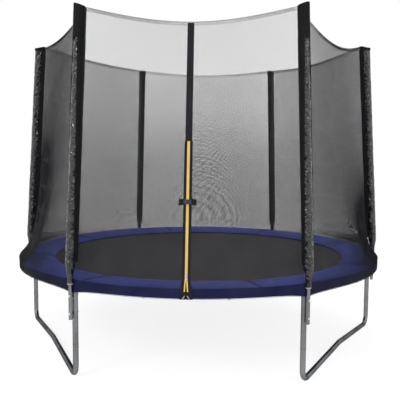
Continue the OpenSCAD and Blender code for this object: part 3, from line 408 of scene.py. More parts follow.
finish, tree, skin = start_finish("grey_foam", (0.34, 0.34, 0.35), 0.85, Subsurface_Weight=0.1)
tree.links.new(ramp(tree, cloudy(tree, on_object(tree), 120), (0.3, (0.26, 0.26, 0.27)),
                    (0.75, (0.42, 0.42, 0.43))), skin.inputs["Base Color"])
relief(tree, skin, cloudy(tree, on_object(tree), 700, 2), 0.0006, 0.7)
finishes["grey_foam"] = finish
print("finishes", [name for name in finishes if "foam" in name])

# %% [markdown]
# ### Woven finishes
#
# Pockets, hems, webbing, mat, elastic and zip tape are all woven, and differ in thread, colour and sheen.
# One function makes them: two crossed waves give the weave, and noise gives the uneven dye and dust.

# %% Woven cloth
def woven(name, dark, light, pitch, roughness, depth, gloss=0.1, cloud=6, flat=False):
    """A woven finish. flat reads Object coordinates instead of the UV map, for cloth that lies level."""
    finish, tree, skin = start_finish(name, light, roughness, Specular_IOR_Level=gloss)
    where = on_object(tree) if flat else on_cloth(tree)
    threads = weave(tree, where, pitch)
    uneven = cloudy(tree, where, cloud, 5)
    tone = combine(tree, combine(tree, threads, 0.35, "MULTIPLY"), uneven)
    tree.links.new(ramp(tree, tone, (0.45, dark), (0.95, light)), skin.inputs["Base Color"])
    tree.links.new(spread(tree, uneven, roughness - 0.06, roughness + 0.08), skin.inputs["Roughness"])
    relief(tree, skin, threads, depth, 0.5)
    return finish


finishes["pocket_cloth"] = woven("pocket_cloth", (0.005, 0.005, 0.006), (0.014, 0.014, 0.016), 0.0012, 0.8,
                                 0.0003)
finishes["mat_hem_black"] = woven("mat_hem_black", (0.012, 0.012, 0.013), (0.028, 0.028, 0.031), 0.0018, 0.75,
                                  0.0004, flat=True)
finishes["webbing_black"] = woven("webbing_black", (0.008, 0.008, 0.01), (0.024, 0.024, 0.028), 0.0022, 0.7,
                                  0.0006)
finishes["zip_yellow"] = woven("zip_yellow", (0.76, 0.5, 0.1), (0.95, 0.69, 0.2), 0.0012, 0.7, 0.0003, 0.3)
finishes["elastic_white"] = woven("elastic_white", (0.66, 0.66, 0.64), (0.84, 0.84, 0.82), 0.0016, 0.8,
                                  0.0005, 0.3,
                                  flat=True)
finishes["mat_black"] = woven("mat_black", (0.03, 0.03, 0.032), (0.062, 0.062, 0.065), 0.0024, 0.6, 0.0004,
                              0.12,
                              cloud=2.2, flat=True)
finishes["stitching"] = start_finish("stitching", (0.04, 0.04, 0.044), 0.7, Specular_IOR_Level=0.2)[0]
print(len(finishes), "finishes so far")

# %% [markdown]
# The pad and its skirt are coated cloth: a blue plastic layer over a fine scrim. The scrim prints through as
# a faint grid, and the coating wrinkles and scuffs. The skirt is the pad's own blue, but painted a far darker
# navy: painted shade for the shade it hangs in under the pad's edge and behind the net.

# %% Coated blue cloth
def coated(name, dark, light, roughness, flat):
    finish, tree, skin = start_finish(name, light, roughness, Specular_IOR_Level=0.08)
    where = on_object(tree) if flat else on_cloth(tree)
    uneven = cloudy(tree, where, 5, 6)
    tree.links.new(ramp(tree, uneven, (0.32, dark), (0.7, light)), skin.inputs["Base Color"])
    tree.links.new(spread(tree, cloudy(tree, where, 16), roughness - 0.08, roughness + 0.1),
                   skin.inputs["Roughness"])
    height = combine(tree, combine(tree, weave(tree, where, 0.0026), 0.12, "MULTIPLY"),
                     cloudy(tree, where, 38, 5))
    relief(tree, skin, height, 0.002, 0.45)
    return finish


finishes["pad_blue"] = coated("pad_blue", (0.056, 0.086, 0.43), (0.092, 0.13, 0.62), 0.55, True)
# Painted shade: the skirt's blue is set far darker than the pad's, for the shade under the pad's edge and
# behind the net; the seam bindings use the same navy.
finishes["skirt_blue"] = coated("skirt_blue", (0.012, 0.02, 0.13), (0.026, 0.037, 0.24), 0.6, False)

finish, tree, skin = start_finish("net_black", (0.02, 0.02, 0.022), 0.75, Specular_IOR_Level=0.05)
tree.links.new(ramp(tree, cloudy(tree, on_object(tree), 7), (0.3, (0.02, 0.02, 0.022)),
                    (0.75, (0.042, 0.042, 0.046))), skin.inputs["Base Color"])
finishes["net_black"] = finish

finish, tree, skin = start_finish("button_red", (0.3, 0.03, 0.025), 0.4)
tree.links.new(ramp(tree, cloudy(tree, on_object(tree), 60), (0.3, (0.24, 0.02, 0.018)),
                    (0.75, (0.36, 0.04, 0.03))), skin.inputs["Base Color"])
relief(tree, skin, cloudy(tree, on_object(tree), 1400, 3), 0.0002, 0.5)
finishes["button_red"] = finish
print(len(finishes), "finishes with the coated cloths")

# %% The steel and plastic parts take their finishes
slots = {part["node"]: part["material_slot"] for part in frame["record"]["subparts"]}
kept = [node for node, slot in slots.items()
        if slot in ("galvanised_steel", "zinc_bolts", "black_plastic", "zip_metal")
        and node not in ("springs", "v_rings", "buckle_socket", "buckle_plug")]
for node in kept:
    for place in frame["nodes"][node].material_slots:
        place.link = "OBJECT"
        place.material = finishes[slots[node]]
print(len(kept), "parts finished")


# %% [markdown]
# ## Mesh helpers
#
# A sheet of cloth starts as a grid of points. The helper moves a copy of the grid inwards by the cloth's
# thickness, closes the rim and lays out a UV map in metres, so a weave keeps its real size.

# %% Closed meshes from points
def make_piece(name, points, faces, finish=None, edges=()):
    """A mesh object from points in millimetres."""
    mesh = bpy.data.meshes.new(name)
    mesh.from_pydata((np.asarray(points, float) * mm).tolist(), list(edges), faces)
    if finish is not None:
        mesh.materials.append(finish)
    piece = bpy.data.objects.new(name, mesh)
    bpy.context.scene.collection.objects.link(piece)
    return piece


def smooth(piece, angle=None):
    piece.data.shade_smooth()
    if angle is not None:
        piece.data.set_sharp_from_angle(angle=math.radians(angle))
    return piece


def unit(v):
    return v / np.maximum(np.linalg.norm(v, axis=-1, keepdims=True), 1e-12)


def cloth(name, grid, thick, finish, closed=False, out=None, merge=False):
    """A closed sheet whose outer face is grid: rows upwards, columns anticlockwise seen from above.

    The thickness lies behind the face, or against out where that is given. merge closes a row that
    shrinks to one point."""
    grid = np.asarray(grid, float)
    rows, cols = grid.shape[:2]
    across = np.roll(grid, -1, 1) - np.roll(grid, 1, 1) if closed else np.gradient(grid, axis=1)
    if out is None:
        out = unit(np.cross(across, np.gradient(grid, axis=0)))
    inner = grid - thick * np.asarray(out, float)
    wide = grid[rows // 2]
    steps = np.linalg.norm(np.diff(np.vstack([wide, wide[:1]]), axis=0), axis=1)
    u = np.concatenate([[0], np.cumsum(steps)]) * mm
    v = np.concatenate([[0], np.cumsum(np.linalg.norm(np.diff(grid[:, 0], axis=0), axis=1))]) * mm
    half = rows * cols
    faces, uvs = [], []

    def face(*corners):
        faces.append([side * half + r * cols + c % cols for side, r, c in corners])
        uvs.extend((u[c], v[r]) for _, r, c in corners)

    spans = cols if closed else cols - 1
    for r in range(rows - 1):
        for c in range(spans):
            face((0, r, c), (0, r, c + 1), (0, r + 1, c + 1), (0, r + 1, c))
            face((1, r, c), (1, r + 1, c), (1, r + 1, c + 1), (1, r, c + 1))
    for c in range(spans):
        face((0, 0, c), (1, 0, c), (1, 0, c + 1), (0, 0, c + 1))
        face((0, rows - 1, c), (0, rows - 1, c + 1), (1, rows - 1, c + 1), (1, rows - 1, c))
    if not closed:
        for r in range(rows - 1):
            face((0, r, 0), (0, r + 1, 0), (1, r + 1, 0), (1, r, 0))
            face((0, r, cols - 1), (1, r, cols - 1), (1, r + 1, cols - 1), (0, r + 1, cols - 1))
    piece = make_piece(name, np.concatenate([grid.reshape(-1, 3), inner.reshape(-1, 3)]), faces, finish)
    piece.data.uv_layers.new(name="cloth").data.foreach_set("uv", np.asarray(uvs, np.float32).ravel())
    if merge:
        work = bmesh.new()
        work.from_mesh(piece.data)
        bmesh.ops.remove_doubles(work, verts=work.verts, dist=1e-6)
        work.to_mesh(piece.data)
        work.free()
    return smooth(piece, 50)


def ribbon(name, path, across, width, thick, finish, crown=0.0):
    """A flat strap along path. across points over its width, and crown domes its outer face."""
    path = np.asarray(path, float)
    across = unit(np.broadcast_to(np.asarray(across, float), path.shape))
    out = unit(np.cross(across, unit(np.gradient(path, axis=0))))
    places = np.linspace(-0.5, 0.5, 5)
    rows = np.stack([path + across * width * s + out * (thick / 2 + crown * (1 - 4 * s * s))
                     for s in places], axis=1)
    return cloth(name, rows, thick, finish)


def area_of(piece):
    """Area of one face of a closed sheet, in square metres."""
    work = bmesh.new()
    work.from_mesh(piece.data)
    total = sum(f.calc_area() for f in work.faces) / 2
    work.free()
    return total


def joined(name, pieces):
    """One object from several meshes with the same finishes."""
    with bpy.context.temp_override(active_object=pieces[0], selected_editable_objects=pieces):
        bpy.ops.object.join()
    pieces[0].name = pieces[0].data.name = name
    return pieces[0]


# %% [markdown]
# ### Three small Geometry Nodes trees
#
# What repeats is made by nodes. One tree grows round wire on lines, for threads, springs and cords. One sets
# stitches along lines at an even spacing. One sets a ready piece on each point, turned by the directions
# that are stored there. Each result is turned into a plain mesh, because pieces ride on bodies as meshes.

# %% Helpers for Geometry Nodes
def new_tree(name, **inputs):
    tree = bpy.data.node_groups.new(name, "GeometryNodeTree")
    tree.interface.new_socket("Geometry", in_out="INPUT", socket_type="NodeSocketGeometry")
    for key, kind in inputs.items():
        tree.interface.new_socket(key.replace("_", " "), in_out="INPUT", socket_type="NodeSocket" + kind)
    tree.interface.new_socket("Geometry", in_out="OUTPUT", socket_type="NodeSocketGeometry")
    return tree, tree.nodes.new("NodeGroupInput").outputs


def end_tree(tree, geometry, finish):
    real = add(tree, "GeometryNodeRealizeInstances", {0: geometry})
    painted = add(tree, "GeometryNodeSetMaterial", {"Geometry": real.outputs[0], "Material": finish})
    add(tree, "NodeGroupOutput", {0: painted.outputs[0]})
    return tree


def grown(piece, tree, **values):
    """Runs a tree on a piece and keeps the result as the piece's plain mesh."""
    names = {s.name: s.identifier for s in tree.interface.items_tree if s.in_out == "INPUT"}
    step = piece.modifiers.new(tree.name, "NODES")
    step.node_group = tree
    for key, value in values.items():
        step[names[key.replace("_", " ")]] = value
    graph = bpy.context.evaluated_depsgraph_get()
    mesh = bpy.data.meshes.new_from_object(piece.evaluated_get(graph), depsgraph=graph)
    piece.modifiers.clear()
    piece.data = mesh
    mesh.name = piece.name
    return piece


# %% The tree that grows wire on lines
wire_tree, given = new_tree("wire_on_lines", Radius="Float", Sides="Int", Upright="Bool", Flatness="Float",
                            Finish="Material")
round_wire = add(wire_tree, "GeometryNodeCurvePrimitiveCircle", {"Resolution": given["Sides"],
                                                                 "Radius": given["Radius"]})
half_side = add(wire_tree, "ShaderNodeMath", {0: math.pi, 1: given["Sides"]}, operation="DIVIDE")
turn = add(wire_tree, "ShaderNodeCombineXYZ", {2: half_side.outputs[0]})
turned = add(wire_tree, "GeometryNodeTransform",
             {"Geometry": round_wire.outputs[0], "Rotation": turn.outputs[0]})
press = add(wire_tree, "ShaderNodeCombineXYZ", {0: given["Flatness"], 1: 1.0, 2: 1.0})
pressed = add(wire_tree, "GeometryNodeTransform", {"Geometry": turned.outputs[0], "Scale": press.outputs[0]})
wire_lines = add(wire_tree, "GeometryNodeMeshToCurve", {"Mesh": given["Geometry"]})
level = add(wire_tree, "GeometryNodeSetCurveNormal", {"Curve": wire_lines.outputs[0],
                                                      "Selection": given["Upright"]}, mode="Z_UP")
girth = add(wire_tree, "GeometryNodeInputNamedAttribute", {"Name": "girth"}, data_type="FLOAT")
wire_body = add(wire_tree, "GeometryNodeCurveToMesh", {"Curve": level.outputs[0],
                                                       "Profile Curve": pressed.outputs[0],
                                                       "Scale": girth.outputs[0], "Fill Caps": True})
end_tree(wire_tree, wire_body.outputs[0], given["Finish"])


def line_piece(name, lines, loop=False):
    """Edges along each line of points, in millimetres."""
    edges, first = [], 0
    for line in lines:
        edges += [(first + k, first + k + 1) for k in range(len(line) - 1)]
        if loop:
            edges.append((first + len(line) - 1, first))
        first += len(line)
    return make_piece(name, np.concatenate(lines), [], None, edges)


def wires(name, lines, diameter, finish, sides=6, loop=False, flatness=None, girth=1.0):
    """Wire on lines. flatness presses four-sided wire flat; girth scales it point by point."""
    piece = line_piece(name, lines, loop)
    size = np.broadcast_to(np.asarray(girth, np.float32), len(piece.data.vertices)).astype(np.float32)
    piece.data.attributes.new("girth", "FLOAT", "POINT").data.foreach_set("value", size)
    piece = grown(piece, wire_tree, Radius=diameter * mm / 2, Sides=sides, Upright=flatness is not None,
                  Flatness=flatness or 1.0, Finish=finish)
    return smooth(piece, 50) if sides > 4 else piece


print("wire tree:", [s.name for s in wire_tree.interface.items_tree])

# %% The tree that sews stitches along lines
stitch_tree, given = new_tree("stitches_on_lines", Spacing="Float", Length="Float", Thickness="Float",
                              Finish="Material")
seam = add(stitch_tree, "GeometryNodeMeshToCurve", {"Mesh": given["Geometry"]})
even = add(stitch_tree, "GeometryNodeResampleCurve", {"Curve": seam.outputs[0], "Length": given["Spacing"]},
           mode="LENGTH")
size = add(stitch_tree, "ShaderNodeCombineXYZ", {0: given["Length"], 1: given["Thickness"],
                                                 2: given["Thickness"]})
bead = add(stitch_tree, "GeometryNodeMeshIcoSphere", {"Radius": 0.5, "Subdivisions": 1})
along = add(stitch_tree, "FunctionNodeAlignRotationToVector",
            {"Vector": add(stitch_tree, "GeometryNodeInputTangent").outputs[0]}, axis="X")
sewn = add(stitch_tree, "GeometryNodeInstanceOnPoints",
           {"Points": even.outputs[0], "Instance": bead.outputs[0],
                                                         "Rotation": along.outputs[0],
                                                         "Scale": size.outputs[0]})
end_tree(stitch_tree, sewn.outputs[0], given["Finish"])


def stitches(name, lines, finish, spacing=4.2, length=3.4, thick=0.9, loop=False):
    return grown(line_piece(name, lines, loop), stitch_tree, Spacing=spacing * mm, Length=length * mm,
                 Thickness=thick * mm, Finish=finish)


# %% The tree that sets one piece on each point
place_tree, given = new_tree("pieces_on_points", Piece="Object", Scale="Float", Finish="Material")
piece_in = add(place_tree, "GeometryNodeObjectInfo", {"Object": given["Piece"]}, transform_space="ORIGINAL")


def direction(name):
    return add(place_tree, "GeometryNodeInputNamedAttribute", {"Name": name},
               data_type="FLOAT_VECTOR").outputs[0]


turned = add(place_tree, "FunctionNodeAlignRotationToVector", {"Vector": direction("along")}, axis="X")
turned = add(place_tree, "FunctionNodeAlignRotationToVector", {"Rotation": turned.outputs[0],
                                                               "Vector": direction("up")},
             axis="Z", pivot_axis="X")
placed = add(place_tree, "GeometryNodeInstanceOnPoints", {"Points": given["Geometry"],
                                                          "Instance": piece_in.outputs["Geometry"],
                                                          "Rotation": turned.outputs[0],
                                                          "Scale": given["Scale"]})
end_tree(place_tree, placed.outputs[0], given["Finish"])


def set_out(name, model, places, along, up, finish):
    """Copies model to each place, its x axis along one direction and its z axis up another."""
    places = np.asarray(places, float)
    points = make_piece(name, places, [])
    for key, value in (("along", along), ("up", up)):
        rows = np.broadcast_to(np.asarray(value, float), places.shape).astype(np.float32)
        points.data.attributes.new(key, "FLOAT_VECTOR", "POINT").data.foreach_set("vector", rows.ravel())
    made = grown(points, place_tree, Piece=model, Scale=1.0, Finish=finish)
    bpy.data.objects.remove(model)
    return smooth(made, 50)


print("trees:", [t.name for t in bpy.data.node_groups])

# %% [markdown]
# ## The jumping mat
#
# The mat is a disc of tightly woven black tape. The springs keep it almost flat, so it only sags by a few
# millimetres. Its edge is folded into a hem of webbing, sewn with three rows of stitches.

# %% The mat and its hem
angles = np.arange(0, 360, 2.5)
radii = np.concatenate([np.linspace(mat_r, 60, 26), [25, 0]])
rows = []
for r in radii:
    sag = 3.5 * (1 - (r / mat_r) ** 2) + 1.1 * (1 - r / mat_r) * np.sin(np.radians(angles * 3)) * (r / mat_r)
    rows.append(polar(r, angles, ring_z + mat_t / 2 - sag))
jumping_mat = cloth("mat_cloth", rows, mat_t, finishes["mat_black"], closed=True, out=(0, 0, 1), merge=True)

hem_angles = np.arange(0, 360, 1.5)
profile = [(mat_r - 47.6, -1.05), (mat_r - 47.6, -2.9), (mat_r - 20, -3.0), (mat_r + 1.2, -2.8),
           (mat_r + 1.9, -1.2),
           (mat_r + 1.9, 1.2), (mat_r + 1.2, 2.8), (mat_r - 20, 3.0), (mat_r - 47.6, 2.9),
           (mat_r - 47.6, 1.05),
           (mat_r + 0.4, 1.02), (mat_r + 0.4, -1.02)]
hem_points = np.concatenate([polar(r, hem_angles, ring_z + z) for r, z in profile])
count, around = len(hem_angles), len(profile)
hem_faces = [[k * count + c, k * count + (c + 1) % count, (k + 1) % around * count + (c + 1) % count,
              (k + 1) % around * count + c] for k in range(around) for c in range(count)]
mat_hem = make_piece("mat_hem_band", hem_points, hem_faces, finishes["mat_hem_black"])
smooth(mat_hem, 40)
mat_seams = stitches("mat_hem_stitches", [polar(mat_r - back, np.arange(0, 360, 2), ring_z + 3.1)
                                          for back in (6, 24, 43)], finishes["stitching"], spacing=6,
                     length=4.6, thick=1.0, loop=True)
print("mat", round(area_of(jumping_mat), 3), "m2")

# %% [markdown]
# Each spring pulls on a triangular wire ring, and a webbing tab sewn to the hem holds the ring. Both
# repeat sixty times round the circle, so one of each is modelled at the origin and nodes set out the rest.

# %% V rings and their tabs
spring_angles = (np.arange(spring_count) + 0.5) * 360 / spring_count
outwards = polar(1, spring_angles, 0)


def rounded(corners, radius, steps=4):
    """A closed line through corners that are rounded off, in the x-y plane."""
    corners = [np.array(c, float) for c in corners]
    line = []
    for k, here in enumerate(corners):
        back, on = corners[k - 1] - here, corners[(k + 1) % len(corners)] - here
        start, end = here + unit(back) * radius, here + unit(on) * radius
        line += [(1 - t) ** 2 * start + 2 * t * (1 - t) * here + t * t * end
                 for t in np.linspace(0, 1, steps)]
    return np.array(line)


half = ring_w / 2 - 2
v_line = rounded([(2, -half, 0), (2, half, 0), (ring_depth - 2, 4, 0), (ring_depth - 2, -4, 0)], 3)
v_model = wires("v_ring", [v_line], 4.0, finishes["galvanised_steel"], sides=7, loop=True)
v_rings = set_out("v_rings_wire", v_model, polar(ring_base_r, spring_angles, ring_z), outwards, (0, 0, 1),
                  finishes["galvanised_steel"])
curl = np.radians(np.linspace(90, -90, 9))
tab_path = np.array([(-34, 0, 3.7), (-18, 0, 3.7)]
                    + [(2 + 3.2 * math.cos(t), 0, 3.2 * math.sin(t)) for t in curl]
                    + [(-18, 0, -3.7), (-34, 0, -3.7)])
tab_model = ribbon("tab", tab_path[::-1], (0, 1, 0), 24, 1.1, finishes["webbing_black"])
tabs = set_out("mat_webbing_tabs", tab_model, polar(ring_base_r, spring_angles, ring_z), outwards, (0, 0, 1),
               finishes["webbing_black"])
print(spring_count, "rings and tabs,", len(v_rings.data.polygons) + len(tabs.data.polygons), "faces")

# %% The mat rides on its body
for piece, slot, nodes in ((jumping_mat, "mat_black", ["jumping_mat"]), (mat_hem, "hem_black", ["mat_hem"]),
                           (mat_seams, "hem_black", []), (v_rings, "galvanised_steel", ["v_rings"]),
                           (tabs, "webbing_black", [])):
    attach(piece, "mat")
    if nodes:
        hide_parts(*nodes)

# %% [markdown]
# ## The springs
#
# A spring is one wire: a hook round the V ring, a close coil, and a hook through the hole in the rail. One
# line is worked out for the first spring, wire is grown on it, and copies are turned round the ring.
# The mat moves under a load while the rail stays.

# %% One spring, then sixty
body_start = (spring_in_r + spring_out_r - spring_body) / 2
coil_r, turns, steps = 8.4, 24, 10
line = [(1339.0, 0, -3.8), (1334.2, 0, -3.9)]
line += [(1334.2 - 3.9 * math.sin(t), 0, -3.9 * math.cos(t)) for t in np.linspace(0.5, math.pi - 0.3, 5)]
line += [(1338.5, 0, 3.6), (1347, 0, 1.5), (body_start - 3, 0, 4)]
for k in range(turns * steps + 1):
    t = 2 * math.pi * k / steps
    line.append((body_start + spring_body * k / (turns * steps), coil_r * math.sin(t), coil_r * math.cos(t)))
line += [(body_start + spring_body + 3, 0, 4), (1481, 0, 0.6), (1487, 0, 0), (1489.8, 0, -1.2), (1490, 0, -7)]
spring_model = wires("spring", [np.array(line)], 3.2, finishes["galvanised_steel"], sides=5)
springs = []
for number, angle in enumerate(spring_angles):
    mesh = spring_model.data.copy()
    mesh.transform(Matrix.Rotation(math.radians(angle), 4, "Z") @ Matrix.Translation((0, 0, ring_z * mm)))
    spring = bpy.data.objects.new(f"spring_{number + 1:02d}", mesh)
    bpy.context.scene.collection.objects.link(spring)
    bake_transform(spring)
    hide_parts("springs")
    springs.append(spring)
bpy.data.objects.remove(spring_model)
print(len(springs), "springs of", len(springs[0].data.polygons), "faces")

# %% [markdown]
# ## The spring pad
#
# Eight padded sections cover the springs. Each is foam sewn into coated cloth, thick over the ring and
# thin at its seams. A cloth simulation with a little air pressure gives the fullness and the small
# puckers that are hard to draw. The sections are alike, so one is simulated and the others are turned
# copies.

# %% The pad's section and its plain shape
def pad_section(puff):
    """Outline of the pad as radius and height; puff runs from 0 at a seam to 1 in the middle."""
    low_z, lip_z = ring_z + 11.5, ring_z + 4
    t = pad_t * (0.55 + 0.45 * puff)
    top_z, crown, rim = pad_rim_z + t, 4 * puff, pad_outer_r - 2
    return np.array([(pad_inner_r + 5, lip_z + 1), (mat_r + 10, lip_z + 1), (mat_r + 18, low_z + 1),
                     (1472.2, low_z + 1), (1480.2, pad_rim_z + 1), (rim - 4, pad_rim_z + 1),
                     (rim, pad_rim_z + 5),
                     (rim, top_z - 7), (rim - 10, top_z - 1.5), (rim - 60, top_z + crown - 1.5),
                     (rim - 150, low_z + t + 4.5 + crown), (rim - 230, low_z + t - 1.5 + crown * 0.5),
                     (pad_inner_r + 15, lip_z + t * 0.75 - 1), (pad_inner_r + 2, lip_z + t * 0.35)])


pad_trim = math.degrees(1.5 / ring_r) + 0.06
pad_stations = np.linspace(pad_trim, 45 - pad_trim, 31)
rings = []
for a in pad_stations:
    s = 2 * (a - pad_trim) / (45 - 2 * pad_trim) - 1
    section = pad_section(1 - abs(s) ** 6)
    rings.append(polar(section[:, 0], a, section[:, 1]))
n = len(rings[0])
pad_faces = [[r * n + k, r * n + (k + 1) % n, (r + 1) * n + (k + 1) % n, (r + 1) * n + k]
             for r in range(len(rings) - 1) for k in range(n)]
pad_faces += [list(range(n))[::-1], [(len(rings) - 1) * n + k for k in range(n)]]
pad_model = make_piece("pad_model", np.concatenate(rings), pad_faces, finishes["pad_blue"])
work = bmesh.new()
work.from_mesh(pad_model.data)
bmesh.ops.recalc_face_normals(work, faces=work.faces)
work.to_mesh(pad_model.data)
work.free()
print("pad model", len(pad_model.data.vertices), "points")


# %% Fill the pad by simulation
def apply_modifiers(piece):
    graph = bpy.context.evaluated_depsgraph_get()
    mesh = bpy.data.meshes.new_from_object(piece.evaluated_get(graph), depsgraph=graph)
    piece.modifiers.clear()
    piece.data = mesh


def filled(piece, voxel, pressure, most):
    """Swells a closed piece under pressure, no point moving more than most millimetres."""
    step = piece.modifiers.new("voxels", "REMESH")
    step.mode, step.voxel_size = "VOXEL", voxel * mm
    apply_modifiers(piece)
    rest = np.array([v.co for v in piece.data.vertices])
    step = piece.modifiers.new("cloth", "CLOTH")
    step.settings.effector_weights.gravity = 0
    step.settings.use_pressure = True
    step.settings.uniform_pressure_force = pressure
    step.settings.mass = 0.3
    step.settings.tension_stiffness = step.settings.compression_stiffness = 12
    step.settings.bending_stiffness = 0.4
    step.point_cache.frame_start, step.point_cache.frame_end = 1, 20
    for number in range(1, 21):
        bpy.context.scene.frame_set(number)
    apply_modifiers(piece)
    bpy.context.scene.frame_set(1)
    now = np.array([v.co for v in piece.data.vertices])
    move = now - rest
    far = np.linalg.norm(move, axis=1, keepdims=True)
    now = rest + move * np.minimum(1, most * mm / np.maximum(far, 1e-9))
    piece.data.vertices.foreach_set("co", now.astype(np.float32).ravel())
    piece.data.update()
    return float(far.max()) / mm


print("largest move before the cap", round(filled(pad_model, 7, 4, 5), 1), "mm")
smooth(pad_model, 60)

# %% Eight pad sections, their stitching, and their creases
pads = []
for number in range(8):
    first = 17.8 + 45 * number
    mesh = pad_model.data.copy()
    mesh.transform(Matrix.Rotation(math.radians(first), 4, "Z"))
    for v in mesh.vertices:
        crease = noise.noise(v.co * 5 + Vector((0, 0, number))) + 0.5 * noise.noise(v.co * 17)
        edge = min(1, max(0, (v.co.z - 0.652) / 0.012))
        v.co.z += 0.0013 * crease * edge
    mesh.materials.clear()
    mesh.materials.append(finishes["pad_blue"])
    pad = bpy.data.objects.new(f"pad_section_{number + 1}", mesh)
    bpy.context.scene.collection.objects.link(pad)
    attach(pad, "root")
    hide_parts(f"pad_{number + 1}")
    pads.append(pad)
bpy.data.objects.remove(pad_model)
top = pad_section(0)[8:]
lines = []
for number in range(8):
    for side in (-1, 1):
        lines.append(np.concatenate([polar(r, 17.8 + 45 * number + side * math.degrees(9 / r), z + 3.2)
                                     for r, z in top]).reshape(-1, 3))
pad_seams = stitches("pad_seam_stitches", lines, finishes["stitching"], spacing=5, length=4, thick=1.1)
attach(pad_seams, "root")
bindings = []
for number in range(8):
    path = np.concatenate([polar(pad_inner_r - 1, 0, top[-1:, 1] - 3),
                           polar(top[::-1, 0], 0, top[::-1, 1] + 1.6),
                           polar(pad_outer_r + 0.4, 0,
                                 np.array([pad_rim_z + 5, pad_rim_z + 1]))]).reshape(-1, 3)
    turn = math.radians(17.8 + 45 * number)
    spin = np.array([[math.cos(turn), math.sin(turn), 0], [-math.sin(turn), math.cos(turn), 0], [0, 0, 1]])
    # The seam bindings take the skirt's dark navy, which on the skirt is painted shade.
    bindings.append(ribbon("binding", path @ spin, np.array([0, 1, 0]) @ spin, 15, 1.4,
                           finishes["skirt_blue"], 0.6))
binding = joined("pad_seam_bindings", bindings)
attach(binding, "root")
print(len(pads), "pads,", len(pads[0].data.vertices), "points each")

# %% [markdown]
# ## The skirt
#
# A strip of the pad's blue cloth, painted dark navy as painted shade for the shade it hangs in, is sewn to
# the pad's outer edge and hangs in front of the ring. It hangs in shallow waves and dips where the poles pull
# it down.

# %% The skirt
def skirt_wave(a):
    return (np.sin(np.radians(a * 23 + 20)) + 0.6 * np.sin(np.radians(a * 41))
            + 0.5 * np.sin(np.radians(a * 9))) / 2.1


skirt_angles = np.arange(0, 360, 1.0)
rows = []
for t in np.linspace(1, 0, 7):
    z = pad_edge_z + (skirt_low(skirt_angles) - pad_edge_z) * t
    rows.append(polar(skirt_r - 0.7 + 0.6 * t * skirt_wave(skirt_angles), skirt_angles, z))
skirt = cloth("skirt_sheet", rows, 1.2, finishes["skirt_blue"], closed=True)
skirt_seams = stitches("skirt_stitches", [polar(skirt_r + 0.1, skirt_angles, skirt_low(skirt_angles) + 9),
                                          polar(skirt_r - 0.6, skirt_angles, pad_edge_z - 4
                                                + 0 * skirt_angles)],
                       finishes["stitching"], spacing=5, length=4, thick=0.7, loop=True)
for piece in (skirt, skirt_seams):
    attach(piece, "root")
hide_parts("pad_skirt")
area_of(skirt)
print("skirt", round(area_of(skirt), 3), "m2")

# %% [markdown]
# ## Sleeves on the poles
#
# Each pole wears a foam tube wrapped in glossy film. The film is drawn in and gathered at the lower end,
# where a ring of bare grey foam shows. The sleeve is lofted along the pole's own line, and noise presses
# sharp creases into it, never outwards, because the net's pocket fits close round it.

# %% Points round a pole
crank_bend = crank_r * pole_lean
pole_names = ["right", "back_right", "back_left", "left", "front_left", "front_right"]


def on_pole(number, run, x, y):
    """Points near a pole: run is measured up it from the end of its crank, x outwards and y sideways."""
    run, x, y = np.broadcast_arrays(*(np.asarray(v, float) for v in (run, x, y)))
    turn = pole_lean + np.clip(run, -crank_bend, 0) / crank_r
    axis_x = np.where(run >= 0, crank_x - run * math.sin(pole_lean), pole_r - crank_r * (1 - np.cos(turn)))
    axis_z = np.where(run >= 0, crank_end_z + run * math.cos(pole_lean),
                      crank_z + crank_r * np.sin(turn) + np.minimum(run + crank_bend, 0))
    px, pz = axis_x + x * np.cos(turn), axis_z + x * np.sin(turn)
    a = math.radians(pole_step * number)
    return np.stack([px * math.cos(a) - y * math.sin(a), px * math.sin(a) + y * math.cos(a), pz], axis=-1)


def smoothstep(t):
    t = np.clip(t, 0, 1)
    return t * t * (3 - 2 * t)


# %% Foam sleeves
low_run = foam_low_z - crank_z - crank_bend
neck_run = (neck_z - 8 - crank_end_z) / math.cos(pole_lean)
full_run = (foam_full_z - crank_end_z) / math.cos(pole_lean)
around = np.radians(np.arange(0, 360, 6))


def crease(points, number):
    """Sharp inward creases in millimetres, between 0 and about 2.6."""
    out = []
    for x, y, z in points.reshape(-1, 3) * mm:
        wide = 1 - abs(noise.noise(Vector((x * 17, y * 17, z * 9 + 7 * number))))
        fine = 1 - abs(noise.noise(Vector((x * 46, y * 46, z * 31 - 3 * number))))
        out.append(1.7 * wide ** 4 + 0.9 * fine ** 5)
    return np.array(out).reshape(points.shape[:-1])


